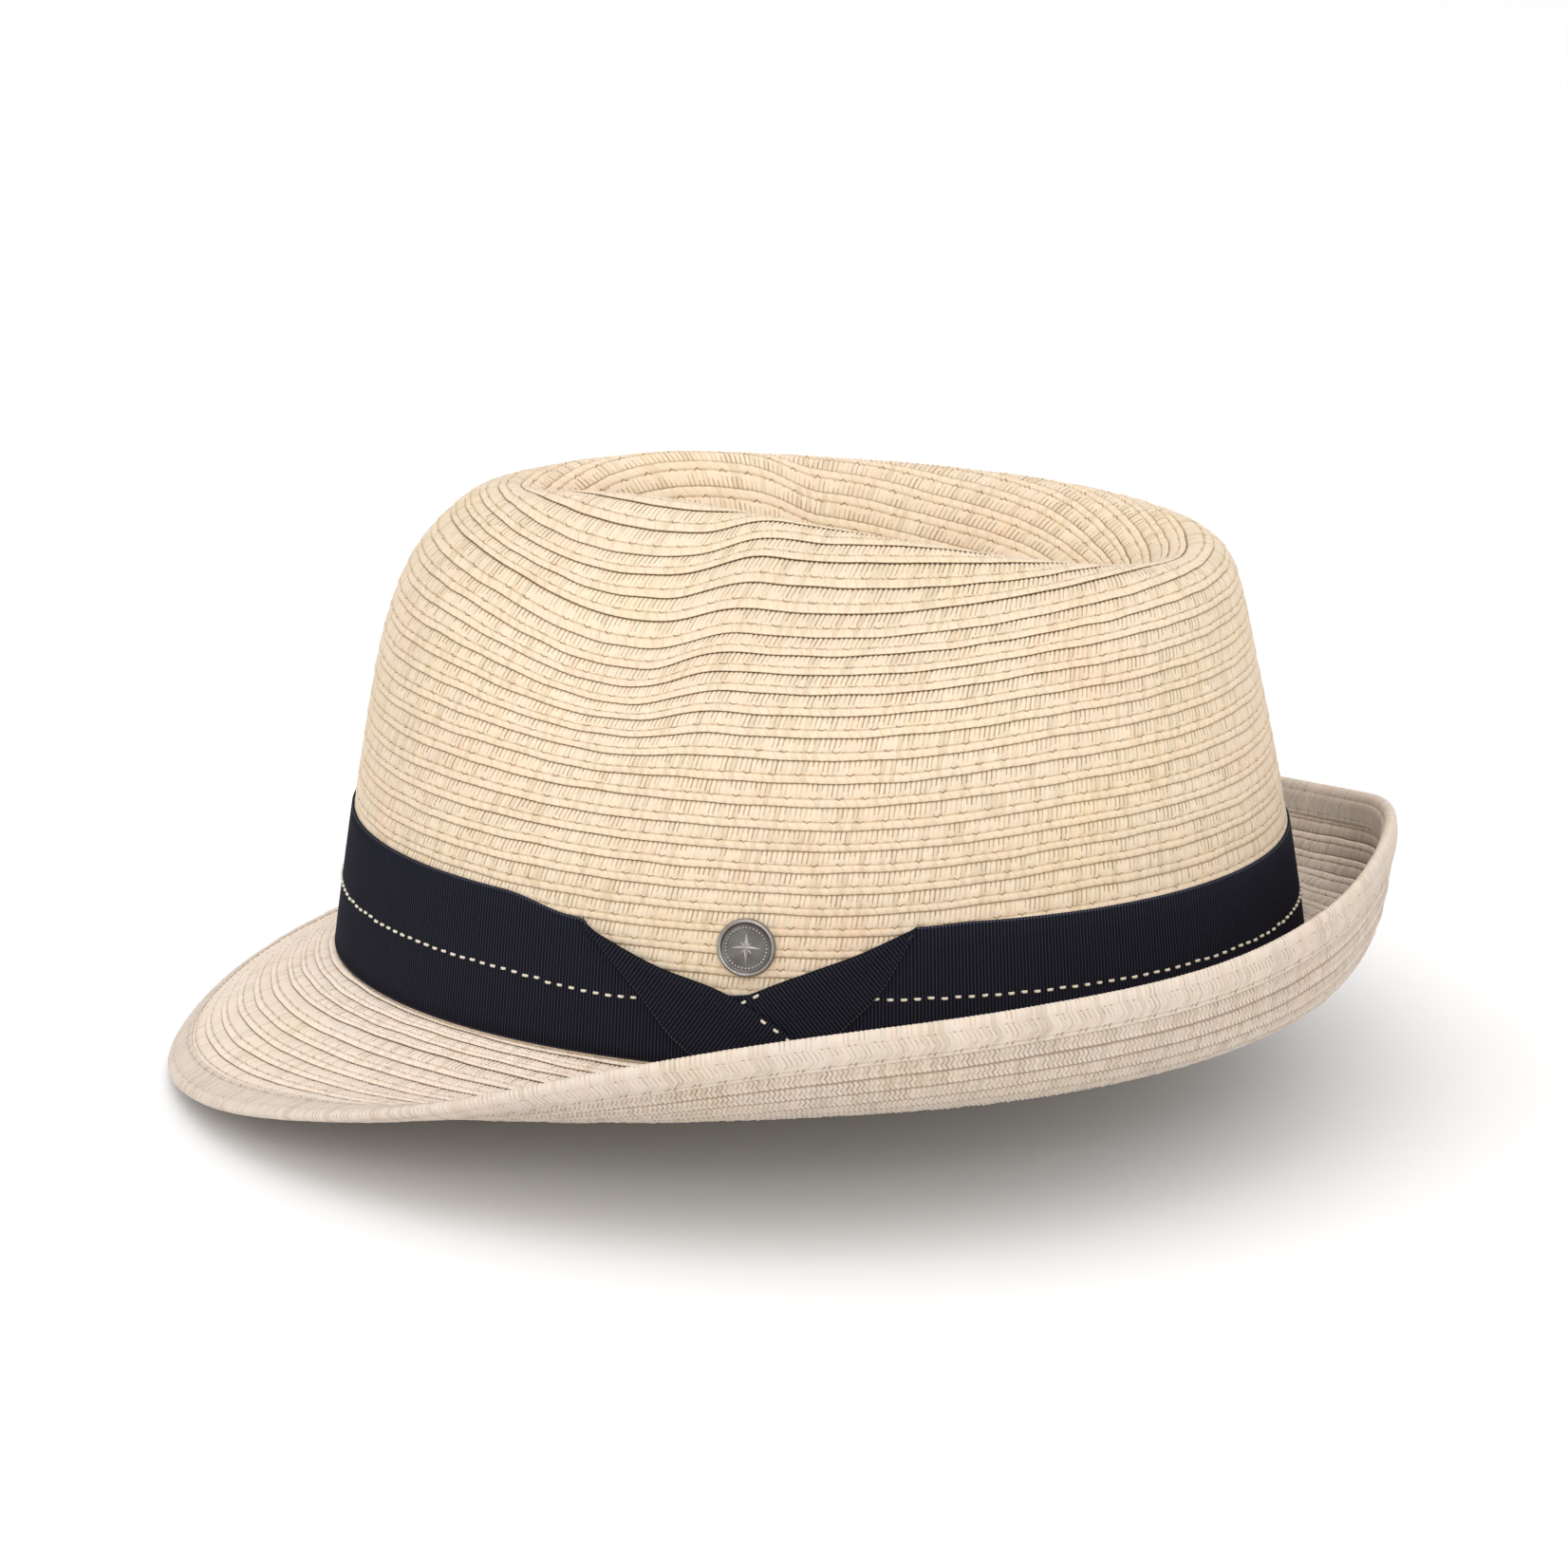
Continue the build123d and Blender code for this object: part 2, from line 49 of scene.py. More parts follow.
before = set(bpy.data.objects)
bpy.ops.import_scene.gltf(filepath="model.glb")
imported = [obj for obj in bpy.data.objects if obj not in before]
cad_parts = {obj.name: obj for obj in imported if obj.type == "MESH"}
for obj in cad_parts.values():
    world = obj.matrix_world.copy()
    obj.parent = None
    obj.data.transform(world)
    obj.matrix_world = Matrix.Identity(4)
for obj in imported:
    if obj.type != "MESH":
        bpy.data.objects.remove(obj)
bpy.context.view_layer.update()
scene = bpy.context.scene
MM = 0.001
rng = np.random.default_rng(11)

# ---- driving dimensions
HALF_LENGTH, HALF_WIDTH = 102.0, 83.5
STRAW = 2.2
MID_WALL = 58.0
RIDGE_CENTRE, RIDGE_HALF_LENGTH = 6.0, 74.0
FLOOR_HEIGHT, FLOOR_HALF_LENGTH = 78.0, 38.0
PINCH_DEPTH, PINCH_ANGLE = 7.0, 60.0
BRIM_HANDLE = 16.5
BRIM_START = -2.0            # the innermost brim row begins under the crown wall
EDGE_ROW = 6.0
HATBAND = (0.7, 30.8)
RIBBON_PLY, RIBBON_GAP = 0.45, 0.27
STITCH_HEIGHT = 15.8
STRAND = 1.05                # width of one strand of paper in the braid

# brim section at angles round the hat: angle, reach, rise, start slope, end slope
BRIM_KNOTS = np.array([
    (0, 34.5, -25.5, -30, -42),
    (25, 35.5, -21.0, -32, -30),
    (46, 36.0, -12.0, -36, -2),
    (61, 36.5, -3.0, -33, 25),
    (79, 36.0, 10.0, -28, 60),
    (95, 34.5, 18.0, -20, 76),
    (115, 31.5, 22.5, -12, 80),
    (135, 26.0, 24.2, 0, 82),
    (155, 19.5, 26.5, 12, 84),
    (180, 17.0, 31.5, 22, 84),
], float)
# the wearer's right is rolled up less behind: angles where that begins, is full, is full until and ends
RIGHT_EASE = (192.0, 232.0, 250.0, 300.0)
RIGHT_EASE_BY = np.array([0.0, 3.0, -9.0, 0.0, -15.0])


# ---- numbers
def cos_deg(angle):
    return np.cos(np.radians(angle))


def sin_deg(angle):
    return np.sin(np.radians(angle))


def fold(phi):
    """Angle from the front, 0 to 180, the same on both sides."""
    return np.abs((np.asarray(phi, float) + 180.0) % 360.0 - 180.0)


def smooth(x, low, high):
    t = np.clip((x - low) / (high - low), 0.0, 1.0)
    return t * t * (3 - 2 * t)


def circle(count):
    return np.linspace(0, 2 * np.pi, count, endpoint=False)


def xyz(x, y, z):
    return np.stack(np.broadcast_arrays(x, y, z), -1).astype(float)


def unit(v):
    return v / np.linalg.norm(v, axis=-1, keepdims=True)


def around(phi, front, side, back):
    along = cos_deg(phi)
    return side * sin_deg(phi) ** 2 + np.where(along > 0, front, back) * along ** 2


def bezier(p0, p1, p2, p3, t):
    s = 1.0 - t
    return p0 * s ** 3 + p1 * 3 * s * s * t + p2 * 3 * s * t * t + p3 * t ** 3


def graded(angle):
    """Brim section values at each angle: smooth between knots, level at both ends."""
    keys = BRIM_KNOTS[:, 0]
    tangents = np.zeros_like(BRIM_KNOTS)
    tangents[1:-1] = (BRIM_KNOTS[2:] - BRIM_KNOTS[:-2]) / (keys[2:] - keys[:-2])[:, None]
    i = np.clip(np.searchsorted(keys, angle, "right") - 1, 0, len(keys) - 2)
    span = (keys[i + 1] - keys[i])[:, None]
    t = ((angle - keys[i]) / span[:, 0])[:, None]
    return ((2 * t ** 3 - 3 * t * t + 1) * BRIM_KNOTS[i] + (t ** 3 - 2 * t * t + t) * span * tangents[i]
            + (3 * t * t - 2 * t ** 3) * BRIM_KNOTS[i + 1] + (t ** 3 - t * t) * span * tangents[i + 1])


# ---- shape of the crown
def oval(phi):
    return xyz(HALF_WIDTH * sin_deg(phi), -HALF_LENGTH * cos_deg(phi), 0.0)


def outward(phi):
    return unit(xyz(sin_deg(phi) / HALF_WIDTH, -cos_deg(phi) / HALF_LENGTH, 0.0))


def ridge(phi):
    c, s = cos_deg(phi), sin_deg(phi)
    height = 99.4 + 6.6 * c - 1.6 * c * c - 0.6 * c ** 3
    height = height - 3.0 * np.maximum(c, 0) ** 4 - 0.8 * np.maximum(-c, 0) ** 3
    return xyz(s * (28.5 - 14.0 * c + 4.0 * c * c), RIDGE_CENTRE - RIDGE_HALF_LENGTH * c, height)


def wall(phi, v):
    """Outside of the crown: v is 0 at the brim break, 0.5 at mid wall and 1 on the ridge."""
    phi, v = np.broadcast_arrays(phi, v)
    n, up = outward(phi), np.array([0, 0, 1.0])
    base, top = oval(phi), ridge(phi)

    def lean(angle):
        return up - n * np.tan(np.radians(angle))[..., None]

    low, mid_lean = around(phi, 7.0, 6.5, 7.5), around(phi, 9.5, 14.0, 12.5)
    mid = base - n * around(phi, 8.2, 9.0, 10.0)[..., None] + up * MID_WALL
    third = MID_WALL / 3
    lower = bezier(base, base + lean(low) * third, mid - lean(mid_lean) * third, mid, 2 * v[..., None])
    level = unit((base - top) * [1, 1, 0])
    slope = around(phi, 30.0, 34.0, 20.0)[..., None]
    rise = up * cos_deg(mid_lean)[..., None] - n * sin_deg(mid_lean)[..., None]
    fall = level * cos_deg(slope) - up * sin_deg(slope)
    upper = bezier(mid, mid + rise * around(phi, 27.0, 22.0, 24.0)[..., None],
                   top + fall * around(phi, 14.0, 26.0, 7.0)[..., None], top, 2 * v[..., None] - 1)
    s = np.clip((v - 0.3) / 0.7, 0, 1)
    across = np.exp(-((fold(phi) - PINCH_ANGLE) / 20.0) ** 2)
    depth = (PINCH_DEPTH * across * np.sin(np.pi * s ** 0.8) ** 2)[..., None]
    return np.where(v[..., None] < 0.5, lower, upper) - n * depth - up * (0.5 * depth)


def dent(phi, u):
    """The teardrop crease: u is 0 on the ridge and 1 at the edge of its flat floor."""
    phi, u = np.broadcast_arrays(phi, u)
    top = ridge(phi)
    c = cos_deg(phi)
    floor = xyz(0.14 * top[..., 0], RIDGE_CENTRE - FLOOR_HALF_LENGTH * c, FLOOR_HEIGHT + 4.0 * c)
    drop = u * u * (3 - 2 * u)
    return top + (floor - top) * np.stack([u, u, drop], -1)


# ---- surfaces as tables
class Surface:
    """Points of a closed band of surface on a grid of angle and arc length, with their normals."""

    def __init__(self, lines, step, start):
        self.step, self.start = step, start
        self.columns = len(lines)
        lengths = [np.concatenate([[0], np.cumsum(np.linalg.norm(np.diff(p, axis=0), axis=1))])
                   for p in lines]
        self.length = np.array([d[-1] for d in lengths])
        count = int(self.length.max() / step) + 12
        grid = np.arange(count) * step
        self.points = np.empty((self.columns, count, 3))
        for i, (line, d) in enumerate(zip(lines, lengths)):
            for axis in range(3):
                self.points[i, :, axis] = np.interp(grid, d, line[:, axis])
            beyond = grid > d[-1]
            end = unit(line[-1] - line[np.searchsorted(d, d[-1] - 0.6) - 1])
            self.points[i, beyond] = line[-1] + end * (grid[beyond] - d[-1])[:, None]

    def finish(self):
        round_hat = np.roll(self.points, -1, 0) - np.roll(self.points, 1, 0)
        along = np.gradient(self.points, axis=1)
        self.normals = unit(np.cross(round_hat, along))
        return self

    def total(self, phi):
        return self.sample(self.length[:, None], phi, None)[..., 0]

    def sample(self, table, phi, row):
        i = (np.asarray(phi) % 360.0) * self.columns / 360.0
        i0 = np.floor(i).astype(int) % self.columns
        i1 = (i0 + 1) % self.columns
        f = (i - np.floor(i))[..., None]
        if table.ndim == 2:
            return table[i0] * (1 - f) + table[i1] * f
        row = np.clip(row, 0, table.shape[1] - 1.001)
        j0 = row.astype(int)
        g = (row - j0)[..., None]
        low = table[i0, j0] * (1 - f) + table[i1, j0] * f
        high = table[i0, j0 + 1] * (1 - f) + table[i1, j0 + 1] * f
        return low * (1 - g) + high * g

    def place(self, phi, s, height):
        """Points at arc length s along the surface and height above it."""
        row = (s - self.start) / self.step
        return self.sample(self.points, phi, row) + self.sample(self.normals, phi, row) * height[..., None]


def crown_surface():
    step = 0.5
    angles = np.arange(0, 360, 0.5)
    lines, crease = [], []
    for phi in angles:
        rise = wall(phi, np.linspace(0, 1, 300))
        crease.append(np.linalg.norm(np.diff(rise, axis=0), axis=1).sum())
        sink = dent(phi, np.linspace(0, 1, 160))[1:]
        middle = sink[-1] * [0, 1, 1]
        across = sink[-1] + (middle - sink[-1]) * np.linspace(0, 1, 12)[1:, None]
        lines.append(np.concatenate([rise, sink, across]))
    surface = Surface(lines, step, 0.0)
    # a soft fold along the ridge: crisp at the sides, rounded over the front
    sigma = np.where(fold(angles) < 42, 7.0, 2.0)
    sigma = np.convolve(np.concatenate([sigma[-30:], sigma, sigma[:30]]), np.ones(61) / 61, "valid")
    grid = np.arange(surface.points.shape[1]) * step
    for i in range(surface.columns):
        reach = int(3 * sigma[i] / step)
        kernel = np.exp(-(np.arange(-reach, reach + 1) * step / sigma[i]) ** 2 / 2)
        padded = np.pad(surface.points[i], ((reach, reach), (0, 0)), "edge")
        soft = np.stack([np.convolve(padded[:, k], kernel / kernel.sum(), "valid") for k in range(3)], -1)
        near = 1 - smooth(np.abs(grid - crease[i]), 2 * sigma[i], 4 * sigma[i])
        surface.points[i] += (soft - surface.points[i]) * near[:, None]
    return surface.finish()


def brim_surface():
    """Middle surface of the brim, from under the crown wall outwards."""
    lines = []
    for phi in np.arange(0, 360, 1.0):
        begins, full, until, ends = RIGHT_EASE
        eased = smooth(phi, begins, full) * (1 - smooth(phi, until, ends))
        _, reach, rise, start, end = graded(np.array([fold(phi)]))[0] + eased * RIGHT_EASE_BY
        p0, p3 = np.array([0.8, -STRAW / 2]), np.array([reach, rise])
        p1 = p0 + np.array([cos_deg(start), sin_deg(start)]) * BRIM_HANDLE
        p2 = p3 - np.array([cos_deg(end), sin_deg(end)]) * BRIM_HANDLE
        curve = bezier(p0, p1, p2, p3, np.linspace(0, 1, 120)[:, None])
        curve = np.concatenate([[[BRIM_START, -STRAW / 2]], curve])
        lines.append(oval(phi) + outward(phi) * curve[:, :1] + np.array([0, 0, 1.0]) * curve[:, 1:])
    surface = Surface(lines, 0.5, 0.0).finish()
    surface.normals *= -1
    return surface


crown_shape = crown_surface()
brim_shape = brim_surface()


# ---- mesh making
def added(name, data):
    made = bpy.data.objects.new(name, data)
    scene.collection.objects.link(made)
    return made


class Collector:
    """Gathers grids of faces into one mesh with a UV map."""

    def __init__(self):
        self.points, self.faces, self.uvs, self.count = [], [], [], 0

    def grid(self, points, u, v, close_u=False, close_v=False):
        """Quads over points[i, j]; u and v give the UV of each i and j, one more if closed."""
        rows, columns = points.shape[:2]
        index = np.arange(rows * columns).reshape(rows, columns) + self.count
        i = np.arange(rows if close_u else rows - 1)
        j = np.arange(columns if close_v else columns - 1)
        i, j = [a.ravel() for a in np.meshgrid(i, j, indexing="ij")]
        i1, j1 = (i + 1) % rows, (j + 1) % columns
        self.faces.append(np.stack([index[i, j], index[i1, j], index[i1, j1], index[i, j1]], -1))
        u = np.append(u, 2 * u[-1] - u[-2])
        v = np.append(v, np.ceil(v[0] + 1e-6) - 1e-3 if close_v else v[-1])
        corners = [(i, j), (i + 1, j), (i + 1, j + 1), (i, j + 1)]
        self.uvs.append(np.stack([np.stack([u[a], v[b]], -1) for a, b in corners], 1))
        self.points.append(points.reshape(-1, 3))
        self.count += rows * columns

    def slab(self, front, back, u, v):
        """A thin closed sheet with a front and a back grid and its four edges."""
        rows, columns = front.shape[:2]
        start = self.count
        self.grid(front, u, v)
        self.grid(back[:, ::-1], u, v)
        f = np.arange(rows * columns).reshape(rows, columns) + start
        b = (np.arange(rows * columns).reshape(rows, columns) + start + rows * columns)[:, ::-1]
        for near, far in ((f[0], b[0]), (b[-1], f[-1]), (b[:, 0], f[:, 0]), (f[:, -1], b[:, -1])):
            self.faces.append(np.stack([near[:-1], near[1:], far[1:], far[:-1]], -1))
            self.uvs.append(np.tile([[[u[0], v[0]]] * 4], (len(near) - 1, 1, 1)).astype(float))

    def build(self, name, material, body=None, nodes=()):
        """Makes the piece. It rides on body, if there is one, and stands for the CAD nodes."""
        points = np.concatenate(self.points) * MM
        faces = np.concatenate(self.faces)
        a, b, c, d = (points[faces[:, k]] for k in range(4))
        volume = (np.cross(a, b) * c).sum() + (np.cross(a, c) * d).sum()
        uvs = np.concatenate(self.uvs)
        if volume < 0:
            faces, uvs = faces[:, ::-1], uvs[:, ::-1]
        mesh = bpy.data.meshes.new(name)
        mesh.vertices.add(len(points))
        mesh.vertices.foreach_set("co", points.astype(np.float32).ravel())
        mesh.loops.add(faces.size)
        mesh.loops.foreach_set("vertex_index", faces.astype(np.int32).ravel())
        mesh.polygons.add(len(faces))
        mesh.polygons.foreach_set("loop_start", np.arange(0, faces.size, 4, dtype=np.int32))
        mesh.uv_layers.new(name="UVMap")
        mesh.update(calc_edges=True)
        mesh.validate()
        layer = mesh.uv_layers["UVMap"]
        if len(layer.data) == uvs.shape[0] * 4:
            layer.data.foreach_set("uv", uvs.astype(np.float32).ravel())
        mesh.polygons.foreach_set("use_smooth", np.ones(len(mesh.polygons), bool))
        mesh.materials.append(material)
        piece = added(name, mesh)
        if nodes:
            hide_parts(*nodes)
        if body:
            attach(piece, body)
        return piece


# ---- materials
class Shader:
    """A node material, with short helpers for its graph."""

    def __init__(self, name, roughness, metallic=0.0, sheen=0.0, specular=0.5):
        self.material = bpy.data.materials.new(name)
        self.material.use_nodes = True
        self.tree = self.material.node_tree
        self.shader = self.tree.nodes["Principled BSDF"]
        self.shader.inputs["Roughness"].default_value = roughness
        self.shader.inputs["Metallic"].default_value = metallic
        self.shader.inputs["Sheen Weight"].default_value = sheen
        self.shader.inputs["Specular IOR Level"].default_value = specular

    def feed(self, socket, value):
        if isinstance(value, bpy.types.NodeSocket):
            self.tree.links.new(value, socket)
        else:
            socket.default_value = value

    def fed(self, kind, *values):
        made = self.tree.nodes.new(kind)
        for socket, value in zip(made.inputs, values):
            self.feed(socket, value)
        return made

    def math(self, operation, a, b=0.0):
        made = self.fed("ShaderNodeMath", a, b)
        made.operation = operation
        return made.outputs[0]

    def times(self, a, b):
        return self.math("MULTIPLY", a, b)

    def plus(self, a, b):
        return self.math("ADD", a, b)

    def fract(self, a):
        return self.math("FRACT", a)

    def apart(self, a, b=0.5):
        return self.math("ABSOLUTE", self.math("SUBTRACT", a, b))

    def below(self, a, limit):
        return self.math("LESS_THAN", a, limit)

    def within(self, a, low, high):
        return self.times(self.below(low, a), self.below(a, high))

    def uv(self):
        split = self.fed("ShaderNodeSeparateXYZ", self.fed("ShaderNodeUVMap").outputs[0])
        return split.outputs[0], split.outputs[1]

    def place(self):
        return self.fed("ShaderNodeTexCoord").outputs["Object"]

    def noise(self, vector, scale, detail=3.0):
        made = self.fed("ShaderNodeTexNoise", vector)
        made.inputs["Scale"].default_value = scale
        made.inputs["Detail"].default_value = detail
        return made.outputs["Fac"]

    def vector(self, x, y, z=0.0):
        return self.fed("ShaderNodeCombineXYZ", x, y, z).outputs[0]

    def ramp(self, factor, stops):
        """A colour ramp, where one number stands for a grey."""
        made = self.fed("ShaderNodeValToRGB", factor)
        elements = made.color_ramp.elements
        stops = [(at, (*(c if isinstance(c, tuple) else (c,) * 3), 1)) for at, c in stops]
        elements[0].position, elements[0].color = stops[0]
        elements[1].position, elements[1].color = stops[-1]
        for position, colour in stops[1:-1]:
            elements.new(position).color = colour
        return made.outputs[0]

    def mix(self, factor, a, b, blend="MIX"):
        made = self.fed("ShaderNodeMix")
        made.data_type, made.blend_type = "RGBA", blend
        self.feed(made.inputs["Factor"], factor)
        for socket, value in ((made.inputs[6], a), (made.inputs[7], b)):
            self.feed(socket, (*value, 1) if isinstance(value, tuple) else value)
        return made.outputs[2]

    def bump(self, height, distance, strength=1.0):
        made = self.fed("ShaderNodeBump")
        made.inputs["Strength"].default_value = strength
        made.inputs["Distance"].default_value = distance
        self.feed(made.inputs["Height"], height)
        self.feed(self.shader.inputs["Normal"], made.outputs[0])

    def done(self, colour, roughness=None):
        self.feed(self.shader.inputs["Base Color"], colour)
        if roughness is not None:
            self.feed(self.shader.inputs["Roughness"], roughness)
        return self.material


def straw_material(name, base, pale, shade, seam, gap_shade_colour):
    """Paper braid: v runs across a row from its lip, and u counts the strands along it."""
    s = Shader(name, 0.72, sheen=0.12, specular=0.3)
    u, v = s.uv()
    across = s.fract(v)
    strand = s.math("FLOOR", u)
    row = s.math("FLOOR", v)
    white = s.fed("ShaderNodeTexWhiteNoise", s.vector(strand, row))
    white.noise_dimensions = "2D"
    chance = white.outputs["Value"]
    # Across a row: seam is a painted shadow line under each lip and under the next row's lip. Shade is
    # painted shade in the stitch groove and next to those lines. Inner is the inside face at 0.84 of base,
    # partly a duller inside face of the paper and partly painted shade on the brim underside.
    inner = tuple(0.84 * c for c in base)
    profile_and_painted_shade = s.ramp(across, [(0.0, seam), (0.05, seam), (0.085, base), (0.13, pale), (0.21, pale),
                              (0.265, shade), (0.29, base), (0.555, base), (0.59, shade), (0.608, seam),
                              (0.765, seam), (0.785, shade), (0.80, inner), (0.925, inner),
                              (0.945, shade), (0.965, seam), (1.0, seam)])
    tone = s.ramp(chance, [(0.0, (0.86, 0.84, 0.78)), (0.25, (0.96, 0.96, 0.94)), (0.7, 1.0),
                           (1.0, (1.0, 0.955, 0.9))])
    body = s.mix(1.0, profile_and_painted_shade, tone, "MULTIPLY")
    patches = s.noise(s.place(), 45.0, 3.0)
    tint = s.ramp(patches, [(0.3, (1.0, 0.985, 0.93)), (0.5, 1.0), (0.7, (1.0, 0.955, 0.935))])
    body = s.mix(1.0, body, tint, "MULTIPLY")
    # the lock stitch pulls the plait into a small notch every five strands; the notch is painted in the seam
    # colour as painted shade
    along = s.apart(s.fract(s.math("DIVIDE", u, 5.0)))
    wing = s.plus(0.225, s.times(along, 0.45))
    stitch_notch_shade = s.times(s.below(along, 0.17), s.below(s.apart(across, wing), 0.02))
    body = s.mix(s.times(stitch_notch_shade, 0.7), body, seam)
    # painted shade in the gaps between strands, each fading out at its own height above the lip
    centred = s.times(s.apart(s.fract(u)), 2.0)
    gap_shade = s.ramp(centred, [(0.52, 0.0), (0.86, 1.0)])
    reach = s.times(s.fract(s.times(chance, 7.3)), 0.24)
    outside = s.within(across, s.plus(reach, 0.29), 0.63)
    inside = s.within(across, 0.785, 0.955)
    gap_shade = s.times(gap_shade, s.plus(outside, inside))
    uneven = s.ramp(s.fract(s.times(chance, 13.7)), [(0.0, 0.1), (0.5, 0.6), (1.0, 1.0)])
    body = s.mix(s.times(gap_shade, uneven), body, gap_shade_colour)
    # painted shade in the creases where the outermost strands turn back over the lip
    bend = s.fract(s.plus(s.times(u, 0.5), s.times(across, 3.5)))
    turned_over_shade = s.times(s.below(bend, 0.13), s.below(across, 0.26))
    body = s.mix(s.times(turned_over_shade, s.times(uneven, 0.6)), body, shade)
    fibre = s.noise(s.vector(s.times(u, 9.0), s.times(v, 2.5)), 1.0, 4.0)
    s.bump(fibre, 0.00016, 0.5)
    return s.done(body)


def ribbon_material(name, base, light):
    """Grosgrain: fine ribs across the ribbon, a paler woven selvedge at v near 0 and 1."""
    s = Shader(name, 0.85, specular=0.06)
    u, v = s.uv()
    rib = s.apart(s.fract(u))
    # painted highlight on each rib's crest and painted shade in the valleys between ribs
    colour = s.ramp(rib, [(0.0, light), (0.2, base), (0.5, tuple(0.4 * c for c in base))])
    dust = s.noise(s.vector(s.times(u, 2.0), s.times(v, 90.0)), 1.0, 3.0)
    colour = s.mix(s.ramp(dust, [(0.55, 0.0), (0.8, 0.5)]), colour, light)
    edge = s.apart(v)
    picot = s.times(s.below(0.487, edge), s.below(rib, 0.3))
    colour = s.mix(s.times(picot, 0.5), colour, tuple(3 * c for c in light))
    s.bump(s.math("SUBTRACT", 0.5, rib), 0.00006, 0.5)
    return s.done(colour)


def thread_material(name, base, dark):
    s = Shader(name, 0.6, sheen=0.3, specular=0.3)
    u, v = s.uv()
    twist = s.fract(s.plus(s.times(u, 5.0), s.times(v, 2.0)))
    colour = s.ramp(twist, [(0.0, dark), (0.3, base), (0.75, base), (1.0, dark)])
    s.bump(twist, 0.00008, 0.6)
    return s.done(colour)


def cloth_material(name, base, dark, threads):
    """Twill: slanting ribs of crossed threads."""
    s = Shader(name, 0.85, sheen=0.35, specular=0.2)
    u, v = s.uv()
    slant = s.fract(s.plus(s.times(u, threads), s.times(v, threads * 9)))
    fleck = s.noise(s.place(), 900.0, 2.0)
    colour = s.ramp(slant, [(0.0, dark), (0.3, base), (0.8, base), (1.0, dark)])
    colour = s.mix(s.ramp(fleck, [(0.35, 0.0), (0.7, 0.35)]), colour, dark)
    s.bump(slant, 0.00012, 0.5)
    return s.done(colour)


def metal_material(name, base, dark, roughness, scale, recess=1.0):
    """Cast and tumbled metal: a darker patina in soft patches and in the recess, a painted shadow ring at the
    base of the rim, and darker under the rim.
    """
    s = Shader(name, roughness, metallic=1.0, specular=0.5)
    place = s.place()
    patina = s.noise(place, scale, 4.0)
    colour = s.ramp(patina, [(0.3, dark), (0.6, base), (0.85, tuple(min(1.15 * c, 1) for c in base))])
    if recess < 1.0:
        _, v = s.uv()
        # darker patina in the recess, a painted shadow ring at the base of the rim, and darker on the
        # underside of the cap
        recess_patina_and_painted_shadow = s.ramp(v, [(0.0, recess), (0.2, recess * 0.9), (0.27, recess * 0.45), (0.34, 1.0),
                           (0.6, 1.0), (0.8, 0.4)])
        colour = s.mix(1.0, colour, recess_patina_and_painted_shadow, "MULTIPLY")
    grain = s.noise(place, scale * 9, 3.0)
    s.bump(grain, 0.00002, 0.35)
    rough = s.ramp(patina, [(0.3, roughness + 0.15), (0.7, roughness)])
    return s.done(colour, rough)


straw = straw_material("straw_braid", (0.835, 0.69, 0.525), (0.81, 0.665, 0.50), (0.56, 0.415, 0.25),
                       (0.20, 0.13, 0.065), (0.34, 0.23, 0.125))
brim_straw = straw_material("straw_braid_brim", (0.88, 0.75, 0.64), (0.88, 0.75, 0.63),
                            (0.55, 0.44, 0.345), (0.27, 0.20, 0.14), (0.33, 0.245, 0.17))
edge_straw = straw_material("straw_edge", (0.71, 0.61, 0.525), (0.74, 0.635, 0.55),
                            (0.55, 0.455, 0.365), (0.26, 0.19, 0.13), (0.42, 0.335, 0.255))
ribbon = ribbon_material("navy_grosgrain", (0.0085, 0.0085, 0.0145), (0.034, 0.034, 0.048))
cream_thread = thread_material("cream_thread", (0.86, 0.79, 0.64), (0.5, 0.42, 0.3))
navy_thread = thread_material("navy_thread", (0.02, 0.022, 0.035), (0.006, 0.006, 0.01))
sweat_cloth = cloth_material("sweatband_twill", (0.66, 0.57, 0.42), (0.42, 0.35, 0.24), 1.0)
tape_cloth = cloth_material("sweatband_tape", (0.50, 0.42, 0.30), (0.30, 0.25, 0.17), 1.6)
label_cloth = cloth_material("label_satin", (0.80, 0.79, 0.75), (0.62, 0.6, 0.56), 2.5)
pewter = metal_material("antiqued_pewter", (0.35, 0.33, 0.31), (0.23, 0.21, 0.20), 0.32, 260.0, 0.5)
pewter_relief = metal_material("pewter_relief", (0.50, 0.49, 0.47), (0.32, 0.31, 0.30), 0.28, 400.0)
steel = metal_material("plain_steel", (0.56, 0.55, 0.53), (0.3, 0.29, 0.28), 0.3, 500.0)


